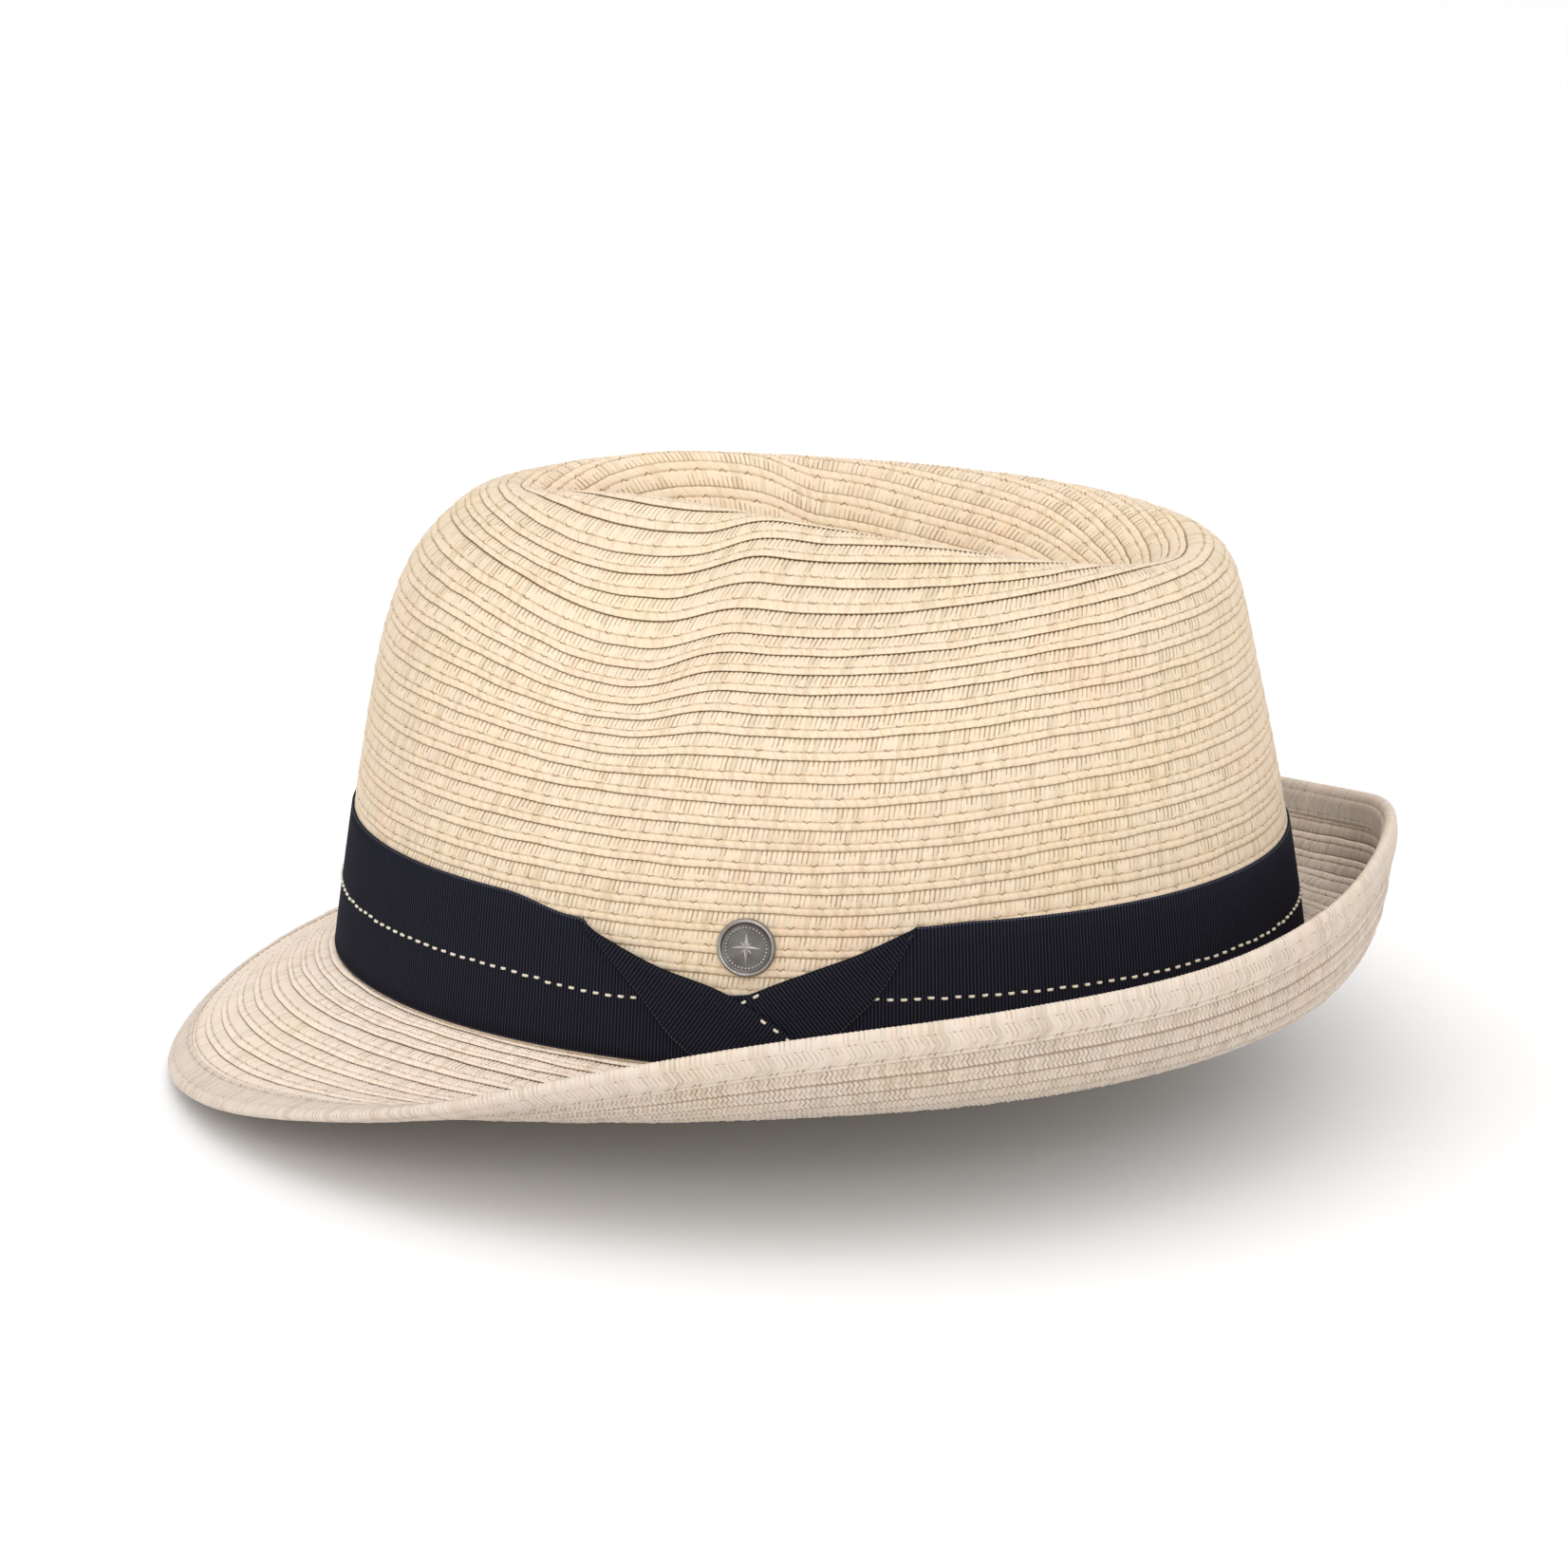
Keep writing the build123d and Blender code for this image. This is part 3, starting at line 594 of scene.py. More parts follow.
# ---- rows of braid
# Across one row, from its exposed lip to the margin tucked under its neighbour and back inside:
# share of the row, height over the outer surface, how much the strands show, shear along the row
# and place in the material.
ROW_PROFILE = np.array([
    (0.02, -0.56, 0.0, 0.0, 0.00),
    (-0.035, -0.40, 0.0, 0.0, 0.03),
    (-0.035, -0.10, 0.2, 0.0, 0.07),
    (0.03, 0.06, 0.5, 0.0, 0.12),
    (0.14, 0.11, 0.6, 0.05, 0.17),
    (0.27, 0.06, 0.6, 0.1, 0.22),
    (0.335, -0.10, 0.9, 0.15, 0.265),
    (0.39, -0.01, 1.0, 0.25, 0.31),
    (0.54, 0.02, 1.0, 0.5, 0.41),
    (0.74, -0.08, 1.0, 0.8, 0.50),
    (0.90, -0.28, 1.0, 1.0, 0.57),
    (1.00, -0.60, 0.9, 1.0, 0.62),
    (1.06, -1.00, 0.2, 1.0, 0.66),
    (1.11, -1.45, 0.0, 1.0, 0.69),
    (1.13, -1.80, 0.0, 1.0, 0.72),
    (1.08, -2.15, 0.3, 1.0, 0.76),
    (0.92, -2.26, 0.6, 0.7, 0.80),
    (0.75, -2.10, 1.0, 0.1, 0.84),
    (0.50, -1.92, 1.0, 0.9, 0.89),
    (0.25, -1.66, 1.0, 0.1, 0.94),
    (0.12, -1.30, 0.0, 0.0, 0.97),
    (0.06, -0.92, 0.0, 0.0, 0.985),
])
LAST_OUTER = 14              # the profile's points up to here are on the outside
RELIEF = 0.22
INSIDE_RELIEF = 1.5          # the plait stands out more on the inside and under the brim
LIP_RELIEF = 0.09
STITCH_POINT, STITCH_DIP = 6, 0.32    # where in the profile the lock stitch sinks in, and how far
STITCH_SPAN = 8              # columns of the mesh from one lock stitch to the next, two to a strand
MEET_OVER = 1.1              # the last rows of the crease run past its middle line, to meet


def wavy(phi, size):
    """A slow random wander round the hat, as a hand-guided row has."""
    wander = np.zeros_like(phi)
    for turns in (5, 9, 16, 27, 44):
        wander += np.sin(np.radians(phi * turns) + rng.uniform(0, 2 * np.pi)) * rng.uniform(0.3, 1)
    return wander * size / 2


def even_angles(surface, middle, spacing):
    """Angles whose points along the row are evenly spaced, and how many there are."""
    coarse = np.arange(0, 360, 0.5)
    line = surface.place(coarse, middle(coarse), np.zeros_like(coarse))
    gaps = np.linalg.norm(np.roll(line, -1, 0) - line, axis=1)
    travel = np.concatenate([[0], np.cumsum(gaps)])
    count = int(round(travel[-1] / spacing / STITCH_SPAN)) * STITCH_SPAN
    return np.interp(np.arange(count) * travel[-1] / count, travel, np.append(coarse, 360.0)), count


def braid_row(collector, surface, lip, tuck, index, lift=0.0, relief=None, slope=0.0):
    """One row of braid round the hat, from arc length lip(phi) to tuck(phi)."""
    phi, count = even_angles(surface, lambda a: (lip(a) + tuck(a)) / 2, STRAND / 2)
    share, height, strands, shear, place = ROW_PROFILE.T
    half = STRAND * (0.45 + 0.5 * slope)
    turn = shear * half * (360.0 / (count * STRAND / 2))
    angle = phi[:, None] + turn
    a, b = lip(angle), tuck(angle)
    width = np.maximum(np.abs(b - a), 1e-3)
    s = a + (b - a) * share
    column = np.arange(count)
    deep = rng.uniform(0.55, 1.5, count)
    wave = np.where(column % 2 == 0, -1.0, 0.75) * deep
    amount = RELIEF if relief is None else RELIEF * relief(angle)
    bulk = np.minimum(width / 4.0, 1.0)
    sign = np.where(np.arange(len(share)) > LAST_OUTER, -INSIDE_RELIEF, 1.0)
    h = lift + height + wave[:, None] * strands * amount * bulk * sign
    stitched = (np.arange(len(share)) == STITCH_POINT) * (column % STITCH_SPAN == STITCH_SPAN // 2)[:, None]
    h = h - STITCH_DIP * stitched * bulk
    # the outermost strands turn back two by two, so the lip is knotted rather than smooth
    lip_part = np.exp(-((share - 0.12) / 0.15) ** 2) * (np.arange(len(share)) <= STITCH_POINT)
    knots = np.cos(np.pi * (column[:, None] / 2.0 + 3.0 * share))
    knots = knots * rng.uniform(0.4, 1.3, count)[:, None]
    h = h + LIP_RELIEF * bulk * knots * lip_part
    s = s - np.sign(b - a) * LIP_RELIEF * bulk * knots * lip_part
    points = surface.place(angle, s, h)
    collector.grid(points, column / 2.0, index + place, close_u=True, close_v=True)


# distance of the row lips from the brim break, up the middle of the wearer's left side
ROW_STARTS = np.concatenate([
    [0.0, 3.0], np.arange(7.0, 49.0, 4.3), 50.0 + np.arange(0, 9) * 4.67, [92.2, 98.8, 105.9, 113.1]])
LAST_FREE_ROW = 118.1
SIDE_TOTAL = float(crown_shape.total(np.array([90.0]))[0])
CREASE_ROWS = 8
PINCH_SAG, BACK_RISE = 7.0, 3.0       # the pinch pulls the rows down, and behind they climb
FRONT_TIP, BACK_TIP = 7.5, 7.0        # the top rows tip down in front and behind


def settled(phi, along):
    """How far the rows leave even spacing: the finger pinch pulls them down, the front tips them."""
    f = fold(phi)
    before, after = np.clip(62.0 - f, 0, None), np.clip(f - 62.0, 0, None)
    pinched = np.exp(-(before / 22.0) ** 2 - (after / 14.0) ** 4)
    high = smooth(along, 95.0, 116.0)
    sag = PINCH_SAG * smooth(along, 52.0, 92.0) + 1.5 * high
    tipped = 1 - smooth(f, 34.0, 82.0)
    behind = smooth(f, 95.0, 132.0)
    rise = (BACK_RISE * smooth(along, 15.0, 37.0) - 1.2 * smooth(along, 60.0, 92.0)) * behind
    return rise - sag * pinched - FRONT_TIP * high * tipped - BACK_TIP * high * behind


def round_hat(bend, line):
    """A function of the angle through these values, closed round the hat."""
    return lambda phi: np.interp(np.asarray(phi) % 360.0, np.append(bend, 360.0), np.append(line, line[0]))


def row_limit(along, wander):
    """Arc length of one row boundary as a function of the angle."""
    bend = np.arange(0, 360, 1.0)
    offset = wavy(bend, wander) if along > 0 else np.zeros_like(bend)
    total = crown_shape.total(bend)
    if along <= LAST_FREE_ROW:
        line = along + settled(bend, along) + offset
    else:
        start = LAST_FREE_ROW + settled(bend, LAST_FREE_ROW)
        done = (along - LAST_FREE_ROW) / (SIDE_TOTAL - LAST_FREE_ROW)
        line = start + (total - start) * done + offset * (1 - done)
    return round_hat(bend, line)


def flattened(along):
    """Strands lie flatter in the finger pinch."""
    def amount(phi):
        near = np.exp(-((fold(phi) - PINCH_ANGLE) / 17.0) ** 2) * smooth(along, 42.0, 60.0)
        return 1.0 - 0.72 * near
    return amount


crease_starts = np.linspace(LAST_FREE_ROW, SIDE_TOTAL + MEET_OVER, CREASE_ROWS + 1)
crown_starts = np.concatenate([ROW_STARTS, crease_starts])
limits = [row_limit(a, 0.16) for a in crown_starts]
ROWS_PER_PIECE = 4
crown_rows = len(crown_starts) - 1
for first in range(0, crown_rows, ROWS_PER_PIECE):
    rows = Collector()
    for k in range(first, min(first + ROWS_PER_PIECE, crown_rows)):
        braid_row(rows, crown_shape, limits[k], limits[k + 1], k, relief=flattened(crown_starts[k]))
    rows.build(f"crown_rows_{first + 1:02d}", straw, "hat", ["crown"])

# ---- brim rows and edge row
BRIM_ROWS = 10
WIRE_RADIUS = 0.4
EDGE_TUCK = 0.4
EDGE_SLANT = 1.6             # how far the strands of the edge row lean along it
BRIM_ROWS_PER_PIECE = 3
OUTER_ROWS, OUTER_ROW = 6, 4.2        # rows counted in from the edge keep their full width


def brim_limit(number):
    """Boundary between brim rows, counted from the crown outwards."""
    bend = np.arange(0, 360, 1.0)
    usable = brim_shape.total(bend) - EDGE_ROW + EDGE_TUCK
    offset = wavy(bend, 0.16) if 0 < number < BRIM_ROWS else np.zeros_like(bend)
    hidden = usable - OUTER_ROWS * OUTER_ROW
    from_edge = usable - (BRIM_ROWS - number) * OUTER_ROW
    near = hidden * number / (BRIM_ROWS - OUTER_ROWS)
    return round_hat(bend, np.where(number > BRIM_ROWS - OUTER_ROWS, from_edge, near) + offset)


brim_limits = [brim_limit(k) for k in range(BRIM_ROWS + 1)]
for first in range(0, BRIM_ROWS, BRIM_ROWS_PER_PIECE):
    rows = Collector()
    for k in range(first, min(first + BRIM_ROWS_PER_PIECE, BRIM_ROWS)):
        braid_row(rows, brim_shape, brim_limits[k + 1], brim_limits[k], k, lift=STRAW / 2, slope=0.6)
    piece = rows.build(f"brim_rows_{first + 1:02d}", brim_straw, nodes=["brim", "front_brim"])
    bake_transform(piece)

# Round the folded edge row, from its upper inner margin over the lip to the lower inner margin and
# back inside: distance past the brim end, height, strands, place in the material.
half_edge = np.array([
    (-6.1, 1.34, 0.0, 0.05),
    (-6.05, 1.44, 0.2, 0.08),
    (-5.6, 1.58, 0.5, 0.30),
    (-5.1, 1.44, 0.9, 0.265),
    (-4.6, 1.58, 1.0, 0.33),
    (-3.4, 1.62, 1.0, 0.41),
    (-2.2, 1.60, 1.0, 0.50),
    (-1.4, 1.46, 1.0, 0.54),
    (-1.0, 1.16, 0.8, 0.27),
    (-0.5, 1.26, 0.8, 0.33),
    (0.3, 1.10, 0.8, 0.38),
    (1.0, 0.70, 0.7, 0.42),
])
channel = np.array([(-6.0, -1.26, 0.0, 0.80), (-1.3, -1.16, 0.0, 0.82), (-0.6, -0.7, 0.0, 0.84),
                    (0.8, -0.45, 0.0, 0.85), (0.8, 0.45, 0.0, 0.86), (-0.6, 0.7, 0.0, 0.88),
                    (-1.3, 1.16, 0.0, 0.9), (-6.0, 1.26, 0.0, 0.92)])
lip_point = np.array([(1.35, 0.0, 0.3, 0.45)])
under = half_edge[::-1] * [1, -1, 1, 1]
edge_profile = np.concatenate([half_edge, lip_point, under, channel])


def edge_braid():
    phi, count = even_angles(brim_shape, lambda a: brim_shape.total(a), STRAND / 2)
    beyond, height, strands, place = edge_profile.T
    total = brim_shape.total(phi)
    column = np.arange(count)
    wave = np.where(column % 2 == 0, -1.0, 0.75) * rng.uniform(0.5, 1.3, count)
    h = height + wave[:, None] * strands * np.sign(height) * RELIEF
    s = total[:, None] + beyond
    slant = EDGE_SLANT * np.clip(1 - np.abs(beyond + 3.2) / 2.6, 0, None) * 360.0 / (count * STRAND / 2)
    angle = phi[:, None] + slant
    rows = Collector()
    rows.grid(brim_shape.place(angle, s, h), column / 2.0, place, close_u=True, close_v=True)
    nodes = ["brim_edge_braid", "front_edge_braid"]
    piece = rows.build("edge_braid", edge_straw, nodes=nodes)
    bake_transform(piece)


def edge_wire():
    phi = np.arange(0, 360, 0.75)
    turn = circle(10)
    s = brim_shape.total(phi)[:, None] + 0.1 + WIRE_RADIUS * np.cos(turn)
    points = brim_shape.place(phi[:, None], s, WIRE_RADIUS * np.sin(turn)[None])
    wire = Collector()
    wire.grid(points, phi, turn / (2 * np.pi), close_u=True, close_v=True)
    piece = wire.build("edge_wire", steel, nodes=["brim_wire", "front_wire"])
    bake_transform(piece)


edge_braid()
edge_wire()


# ---- hatband
def on_wall(phi, z, height):
    """A point on the straight lower wall at height z, and height above the straw."""
    phi, z, height = np.broadcast_arrays(phi, z, height)
    return wall(phi, 0.5 * z / MID_WALL) + outward(phi) * height[..., None]


def side_angle(y, z):
    """Angle round the hat of a point on the wearer's left with this y and z."""
    half_length = HALF_LENGTH - 8.8 * z / MID_WALL
    return np.degrees(np.arccos(np.clip(-y / half_length, -1, 1)))


FRONT_CORNER, REAR_CORNER = (-38.4, 28.0), (28.8, 30.2)
VALLEY_FRONT = [(-33.0, 25.4), (-22.0, 20.8), (-9.0, 16.8)]
VALLEY_REAR = [(9.0, 21.6), (17.5, 24.9), (24.5, 28.2)]
RIB = 0.72                   # pitch of the grosgrain ribs
RIB_RELIEF = 0.06
LAYER = RIBBON_GAP + RIBBON_PLY
FOLD_LAYER = 0.76


def notch_height(phi):
    """Top edge of the plain band: level, and cut down behind the crossing folds."""
    low = np.array([FRONT_CORNER, *VALLEY_FRONT, (0.0, 17.9), *VALLEY_REAR, REAR_CORNER])
    low[1:-1, 1] -= 1.4
    y = -HALF_LENGTH * cos_deg(phi) * 0.955
    left_side = sin_deg(phi) > 0
    dipped = np.interp(y, low[:, 0], low[:, 1])
    inside = left_side & (y > FRONT_CORNER[0]) & (y < REAR_CORNER[0])
    drawn_down = (HATBAND[1] - FRONT_CORNER[1]) * smooth(y, -56.0, FRONT_CORNER[0]) * (y < 0)
    drawn_down = drawn_down + (HATBAND[1] - REAR_CORNER[1]) * (1 - smooth(y, REAR_CORNER[0], 40.0)) * (y > 0)
    plain = HATBAND[1] - np.where(left_side, drawn_down, 0.0)
    return np.where(inside, np.minimum(plain, dipped), plain)


def hatband_piece():
    phi, count = even_angles(crown_shape, lambda a: np.full_like(a, 16.0), RIB / 2)
    share = np.linspace(0, 1, 9)
    top = notch_height(phi)[:, None]
    z = HATBAND[0] + (top - HATBAND[0]) * share
    rib = np.where(np.arange(count) % 2 == 0, -RIB_RELIEF, RIB_RELIEF)[:, None]
    angle = np.repeat(phi[:, None], len(share), 1)
    front = on_wall(angle, z, LAYER + rib - 0.04)
    back = on_wall(angle, z, RIBBON_GAP)
    section = np.concatenate([front, back[:, ::-1]], 1)
    band = Collector()
    v = np.concatenate([share * 0.998 + 0.001, 0.9 - share * 0.8])
    band.grid(section, np.arange(count) / 2.0, v, close_u=True, close_v=True)
    return band.build("hatband_ribbon", ribbon, "hat", ["hatband"])


def clip_outline(outline, direction, count):
    """Cut an outline into stations along direction: the low and high end of each cut."""
    outline = np.array(outline)
    normal = np.array([-direction[1], direction[0]])
    u, w = outline @ direction, outline @ normal
    stations = np.linspace(u.min() + 0.02, u.max() - 0.02, count)
    low, high = np.empty(count), np.empty(count)
    for k, at in enumerate(stations):
        hits = []
        for i in range(len(u)):
            u0, u1, w0, w1 = u[i - 1], u[i], w[i - 1], w[i]
            if (u0 - at) * (u1 - at) <= 0 and abs(u1 - u0) > 1e-9:
                hits.append(w0 + (w1 - w0) * (at - u0) / (u1 - u0))
        low[k], high[k] = min(hits), max(hits)
    return stations, low, high, normal


def smooth_outline(points, per_side=9):
    """A run of points with a smooth curve through them."""
    p = np.array([points[0], *points, points[-1]], float)
    out = []
    for i in range(1, len(p) - 2):
        for t in np.linspace(0, 1, per_side, endpoint=False):
            a, b, c, d = p[i - 1], p[i], p[i + 1], p[i + 2]
            out.append(0.5 * (2 * b + (c - a) * t + (2 * a - 5 * b + 4 * c - d) * t * t
                              + (3 * b - a - 3 * c + d) * t ** 3))
    return [tuple(q) for q in out] + [points[-1]]


def folded_end(name, upper, lower, direction, base, node):
    """A slanting fold of ribbon: ribs cross it, and its lower selvedge stands a little proud."""
    outline = smooth_outline(upper) + smooth_outline(lower)
    span = np.ptp(np.array(outline) @ direction)
    count = int(span / (RIB / 2)) // 2 * 2
    stations, low, high, normal = clip_outline(outline, direction, count)
    share = np.linspace(0, 1, 13)
    w = low[:, None] + (high - low)[:, None] * share
    y = stations[:, None] * direction[0] + w * normal[0]
    z = stations[:, None] * direction[1] + w * normal[1]
    rib = np.where(np.arange(count) % 2 == 0, -RIB_RELIEF, RIB_RELIEF)[:, None]
    # the cloth swells along the fold at its upper edge and lies flat at its selvedge
    swell = 0.28 * np.sin(np.pi * np.clip((share - 0.55) / 0.45, 0, 1))
    swell = swell * smooth(high - low, 1, 6)[:, None]
    phi = side_angle(y, z)
    front = on_wall(phi, z, base + RIBBON_PLY + rib + swell)
    back = on_wall(phi, z, base + 0.5 * swell)
    cloth = Collector()
    cloth.slab(front, back, np.arange(count) / 2.0, share * 0.5)
    return cloth.build(name, ribbon, "hat", [node])


hatband = hatband_piece()
front_fold = folded_end(
    "ribbon_front_fold", [FRONT_CORNER, *VALLEY_FRONT, (3.0, 10.0), (13.5, 1.2)],
    [(-11.6, 1.2), (-18.8, 6.6), (-25.8, 15.0), (-33.4, 23.2), FRONT_CORNER],
    unit(np.array([38.0, -26.0])), RIBBON_GAP + 2 * FOLD_LAYER, "hatband_front_fold")
rear_fold = folded_end(
    "ribbon_rear_fold", [(-12.0, 1.2), (-15.0, 8.0), (-9.0, 13.4), (0.0, 17.9), *VALLEY_REAR, REAR_CORNER],
    [REAR_CORNER, (26.6, 25.4), (22.0, 17.0), (15.0, 9.3), (9.0, 1.2)],
    unit(np.array([29.0, 24.0])), RIBBON_GAP + FOLD_LAYER, "hatband_rear_fold")


# ---- stitches
def stitch(collector, centre, along, out, length, thick):
    """One visible stitch: a short arch of thread that dives into the cloth at both ends."""
    side = np.cross(out, along)
    t = np.linspace(-1, 1, 9)
    turn = circle(8)
    girth = thick / 2 * np.sqrt(np.clip(1 - t ** 6, 0.04, 1))
    rise = thick * (0.32 - 0.55 * t ** 4)
    line = centre + along * (t * length / 2)[:, None] + out * rise[:, None]
    ring = side * np.cos(turn)[:, None] + out * np.sin(turn)[:, None]
    points = line[:, None, :] + ring * girth[:, None, None]
    collector.grid(points[:, ::-1], t, np.linspace(0, 0.9, 8), close_v=True)
    for end, flip in ((0, 1), (-1, -1)):
        cap = np.stack([points[end, ::-1][::flip], np.repeat(line[end][None], 8, 0)])
        collector.grid(cap, np.array([0.0, 0.1]), np.linspace(0, 0.9, 8), close_v=True)


def wall_frame(phi, z, height, slope=0.0):
    """Point, direction along the ribbon turned by slope, and outward direction."""
    here, out = on_wall(phi, z, height), outward(phi)
    level = np.cross([0, 0, 1.0], out)
    up = np.cross(out, level)
    return here, level * cos_deg(slope) + up * sin_deg(slope), out


STITCH_PITCH, STITCH_LENGTH, STITCH_THICK = 2.75, 1.4, 0.62
TACK_LENGTH, TACK_THICK = 1.5, 0.35
FRONT_SAG, FOLD_SAG = 0.9, 1.7        # the stitches run lower in front and beside the front fold
UNDER_FOLDS = (74.6, 101.6)  # angles between which the folds cover the running stitch
running = Collector()
ring_angles, _ = even_angles(crown_shape, lambda a: np.full_like(a, STITCH_HEIGHT), STITCH_PITCH)
for phi in ring_angles:
    if UNDER_FOLDS[0] < phi < UNDER_FOLDS[1]:
        continue
    sag = FRONT_SAG * (1 - smooth(fold(phi), 60.0, 100.0))
    if phi < 76.0:
        sag += FOLD_SAG * smooth(phi, 54.0, 71.0)
    tilt = rng.normal(0, 2.0)
    running_length = STITCH_LENGTH * rng.uniform(0.88, 1.08)
    here = wall_frame(phi, STITCH_HEIGHT - sag + rng.normal(0, 0.08), LAYER - 0.04, tilt)
    stitch(running, *here, running_length, STITCH_THICK)
running.build("running_stitch", cream_thread, "hat", ["contrast_thread"])

slanted = Collector()
front_height = RIBBON_GAP + 2 * FOLD_LAYER + RIBBON_PLY
rear_height = RIBBON_GAP + FOLD_LAYER + RIBBON_PLY
for y, z, slope, height in ((-0.4, 11.3, -34, front_height), (2.1, 9.6, -34, front_height),
                            (4.6, 7.7, -36, front_height), (-4.6, 14.8, 32, rear_height + 0.2),
                            (-2.1, 16.2, 32, rear_height + 0.2)):
    stitch(slanted, *wall_frame(side_angle(y, z), z, height, slope), STITCH_LENGTH, STITCH_THICK)
slanted.build("fold_stitch", cream_thread, "hat")

tacks = Collector()
for y, z, slope, height in ((-6.0, 4.0, -38, front_height), (-1.0, 3.0, -38, front_height),
                            (-37.0, 28.3, -50, front_height - 0.3), (27.6, 28.4, 50, rear_height - 0.1)):
    stitch(tacks, *wall_frame(side_angle(y, z), z, height, slope), TACK_LENGTH, TACK_THICK)
tacks.build("ribbon_tack_stitches", navy_thread, "hat", ["ribbon_tacks"])


# ---- sweatband
SWEATBAND = (0.8, 30.0)
STAND_OFF = (0.3, 3.1)
SWEAT_PLY = 0.9
SEAM_HEIGHT, SEAM_PITCH, SEAM_STITCH, SEAM_THREAD = 2.9, 3.0, 2.3, 0.4


def band_depth(z):
    """Outer face of the sweatband, measured from the outside of the crown wall."""
    share = (z - SWEATBAND[0]) / (SWEATBAND[1] - SWEATBAND[0])
    return -STRAW - STAND_OFF[0] - (STAND_OFF[1] - STAND_OFF[0]) * share - 0.1


def inside_strip(low, high, depth, ply, rows, spacing, arc=None):
    """Front and back grids of a strip that lies inside the crown, depth behind the sweatband."""
    if arc is None:
        phi, count = even_angles(crown_shape, lambda a: np.full_like(a, 15.0), spacing)
    else:
        count = int((arc[1] - arc[0]) * 1.75 / spacing)
        phi = np.linspace(*arc, count)
    z = np.linspace(low, high, rows)
    pucker = 0.12 * np.sin(np.arange(count) * spacing * 2 * np.pi / 8.0)[:, None] * smooth(z, 20, 30)
    angle, level = np.meshgrid(phi, z, indexing="ij")
    outer = on_wall(angle, level, band_depth(level) - depth + pucker)
    inner = on_wall(angle, level, band_depth(level) - depth - ply + pucker)
    return inner, outer, np.arange(count) * spacing, z


inner, outer, u, z = inside_strip(*SWEATBAND, 0.0, SWEAT_PLY, 15, 1.3)
sweat = Collector()
sweat.grid(np.concatenate([inner, outer[:, ::-1]], 1), u, np.concatenate([z, z[::-1] + 0.01]) / 32.0,
           close_u=True, close_v=True)
sweatband = sweat.build("sweatband_cloth", sweat_cloth, "hat", ["sweatband"])

seam = Collector()
seam_angles, _ = even_angles(crown_shape, lambda a: np.full_like(a, SEAM_HEIGHT), SEAM_PITCH)
for phi in seam_angles:
    here, along, out = wall_frame(phi, SEAM_HEIGHT, band_depth(SEAM_HEIGHT) - SWEAT_PLY)
    stitch(seam, here, along, -out, SEAM_STITCH, SEAM_THREAD)
seam.build("sweatband_seam_stitches", cream_thread, "hat", ["sweatband_seam"])

inner, outer, u, z = inside_strip(4.0, 29.2, SWEAT_PLY, 0.45, 15, 0.7, arc=(176.0, 184.0))
tape = Collector()
tape.slab(inner, outer, u, z / 32.0)
tape_piece = tape.build("sweatband_join_tape", tape_cloth, "hat", ["sweatband_join"])

inner, outer, u, z = inside_strip(8.0, 22.0, SWEAT_PLY, 0.28, 12, 0.7, arc=(154.6, 170.2))
label = Collector()
label.slab(inner, outer, u, z / 32.0)
label_piece = label.build("size_label_cloth", label_cloth, "hat", ["size_label"])

# ---- badge
BADGE_PHI, BADGE_HEIGHT = 87.5, 25.6
RUNNING_GAP = 0.35
BADGE_FACE = 0.95
BEADS, BEAD_RING, BEAD_RADIUS = 36, 4.2, 0.29
badge_v = 0.5 * BADGE_HEIGHT / MID_WALL
seat = wall(BADGE_PHI, badge_v)
side_step = wall(BADGE_PHI + 0.5, badge_v) - wall(BADGE_PHI - 0.5, badge_v)
rise_step = wall(BADGE_PHI, badge_v + 0.01) - wall(BADGE_PHI, badge_v - 0.01)
badge_out = unit(np.cross(side_step, rise_step))
badge_x = unit(np.array([0, 1.0, 0]) - badge_out * badge_out[1])
badge_y = np.cross(badge_out, badge_x)


def on_badge(x, y, height):
    x, y, height = np.broadcast_arrays(x, y, height)
    out = badge_out * (RUNNING_GAP + height)[..., None]
    return seat + badge_x * x[..., None] + badge_y * y[..., None] + out


def turned(collector, outline, steps):
    """A turned shape about the badge's axis, from (radius, height) pairs."""
    turn = circle(steps)
    r, h = np.array(outline, float).T
    points = on_badge(r * np.cos(turn)[:, None], r * np.sin(turn)[:, None], h)
    collector.grid(points, turn, np.linspace(0, 0.95, len(r)), close_u=True)


cap = Collector()
turned(cap, [(0.01, 0.95), (2.0, 0.96), (3.5, 0.95), (4.7, 0.93), (5.0, 0.95), (5.13, 1.08), (5.26, 1.24),
             (5.45, 1.3), (5.68, 1.28), (5.88, 1.12), (5.97, 0.85), (6.0, 0.5), (5.96, 0.2), (5.8, 0.04),
             (5.5, 0.0), (3.0, 0.0), (0.01, 0.0)], 96)
cap.build("badge_cap_shell", pewter, "badge", ["badge_cap"])

star = Collector()
for k in range(8):
    tip, hip, rise = (3.2, 0.8, 0.34) if k % 2 == 0 else (1.9, 0.55, 0.24)
    a = math.radians(45 * k)
    for sign in (-1, 1):
        b = a + sign * math.radians(45)
        x = np.array([[0, tip * math.cos(a)], [hip * math.cos(b), tip * math.cos(a)], [0, tip * math.cos(a)]])
        y = np.array([[0, tip * math.sin(a)], [hip * math.sin(b), tip * math.sin(a)], [0, tip * math.sin(a)]])
        facet = on_badge(x.T, y.T, np.array([[0.93 + rise, 0.93, 0.9], [0.95, 0.93, 0.9]]))
        star.grid(facet if sign > 0 else facet[:, ::-1], np.array([0.0, 1.0]), np.array([0.0, 0.3, 0.6]),
                  close_v=True)
facets = star.build("badge_star", pewter_relief, "badge", ["badge_emblem"]).data.polygons
facets.foreach_set("use_smooth", np.zeros(len(facets), bool))

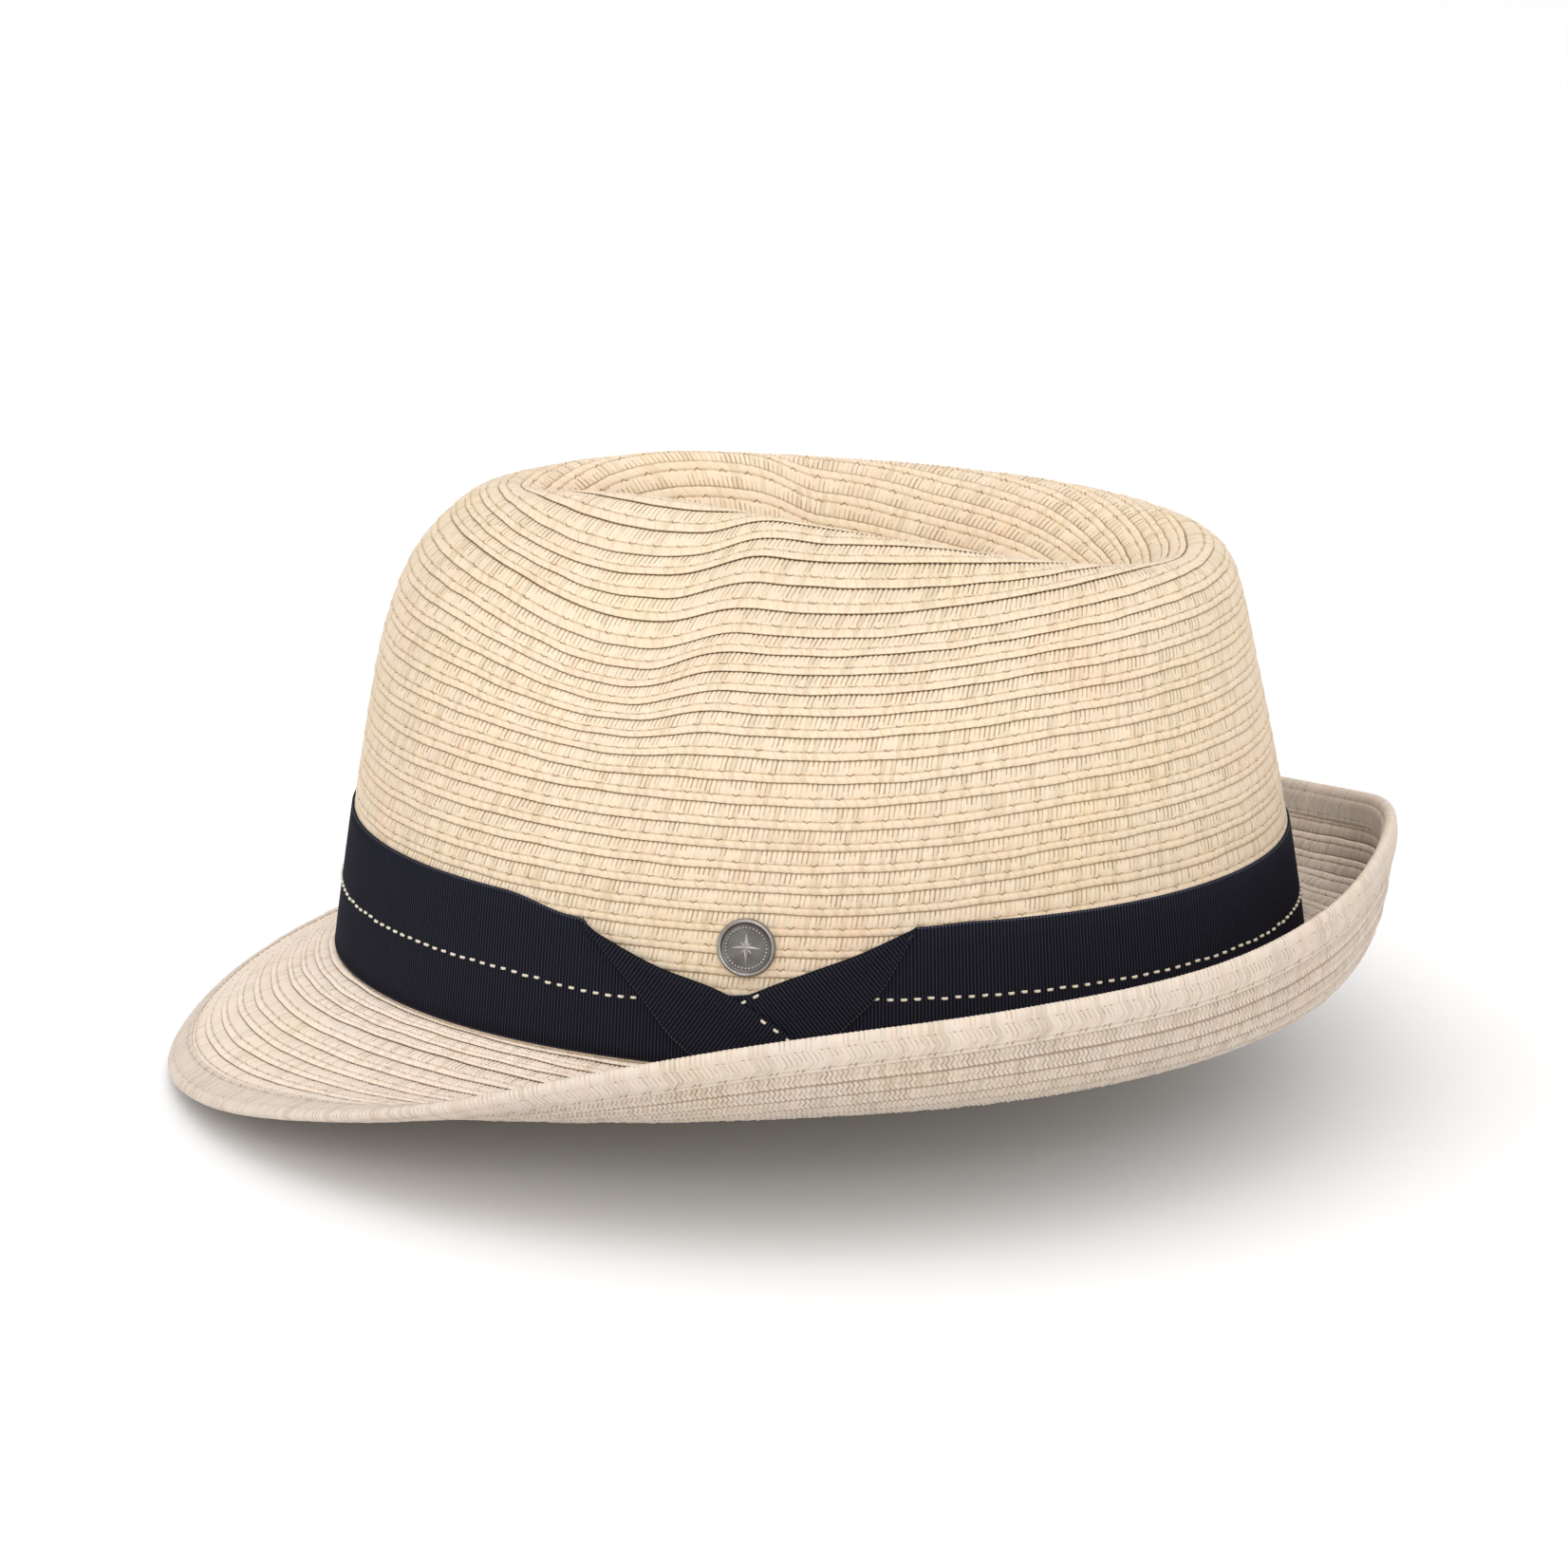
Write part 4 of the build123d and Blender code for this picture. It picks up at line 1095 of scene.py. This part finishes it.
beads = Collector()
for k in range(BEADS):
    a = 2 * math.pi * k / BEADS
    turn = circle(10)
    lift = np.radians([-12, 5, 25, 45, 65, 89])
    x = BEAD_RING * math.cos(a) + BEAD_RADIUS * np.cos(lift) * np.cos(turn)[:, None]
    y = BEAD_RING * math.sin(a) + BEAD_RADIUS * np.cos(lift) * np.sin(turn)[:, None]
    dome = on_badge(x, y, BADGE_FACE + BEAD_RADIUS * np.sin(lift))
    beads.grid(dome, turn, np.linspace(0, 0.9, 6), close_u=True)
beads.build("badge_beads", pewter_relief, "badge", ["badge_bead_ring"])

for name in ("badge_nail", "badge_washer"):
    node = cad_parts[name]
    node.data.materials.clear()
    node.data.materials.append(steel)

# ---- stage, light and camera
low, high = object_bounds()
floor_mesh = bpy.data.meshes.new("floor")
half_floor = 6.0
depth = low.z - 0.0006
corners = [(x * half_floor, y * half_floor, depth) for x, y in ((-1, -1), (1, -1), (1, 1), (-1, 1))]
floor_mesh.from_pydata(corners, [], [(0, 1, 2, 3)])
floor = added("floor", floor_mesh)
paper = Shader("floor_paper", 0.9, specular=0.1)
floor_mesh.materials.append(paper.done(
    paper.ramp(paper.noise(paper.place(), 3.0), [(0.2, 0.90), (0.8, 0.93)])))

world = bpy.data.worlds.new("studio")
world.use_nodes = True
world.node_tree.nodes["Background"].inputs[0].default_value = (1.0, 1.0, 1.0, 1)
world.node_tree.nodes["Background"].inputs[1].default_value = 1.0
scene.world = world
scene.view_settings.view_transform = "Standard"


def soft_light(name, place, target, size, power):
    light = bpy.data.lights.new(name, "AREA")
    light.size, light.energy = size, power
    lamp = added(name, light)
    lamp.location = place
    lamp.rotation_euler = (Vector(target) - Vector(place)).to_track_quat("-Z", "Y").to_euler()


soft_light("top_box", (0.25, -0.2, 1.6), (0, 0, 0), 1.2, 4.5)
soft_light("side_box", (1.8, 0.35, 0.75), (0, 0.05, 0.05), 0.9, 10.5)

ELEVATION, AZIMUTH, ROLL = math.radians(16.9), math.radians(-7.7), math.radians(0.28)
DISTANCE = 1.8
TARGET = Vector((0.0, -0.0079, 0.0355))
PLAIN_VIEW = 0.32823         # width of the view at the target
SENSOR = 36.0
back = Vector((math.cos(ELEVATION) * math.cos(AZIMUTH), -math.cos(ELEVATION) * math.sin(AZIMUTH),
               math.sin(ELEVATION)))
level = Vector((math.sin(AZIMUTH), math.cos(AZIMUTH), 0))
lift = back.cross(level)
right = level * math.cos(ROLL) + lift * math.sin(ROLL)
top = lift * math.cos(ROLL) - level * math.sin(ROLL)
camera_data = bpy.data.cameras.new("camera")
camera_data.sensor_width = SENSOR
camera_data.lens = SENSOR * DISTANCE / PLAIN_VIEW
camera_data.clip_end = 50.0
camera = added("camera", camera_data)
turn = Matrix((right, top, back)).transposed().to_4x4()
camera.matrix_world = Matrix.Translation(TARGET + back * DISTANCE) @ turn
scene.camera = camera
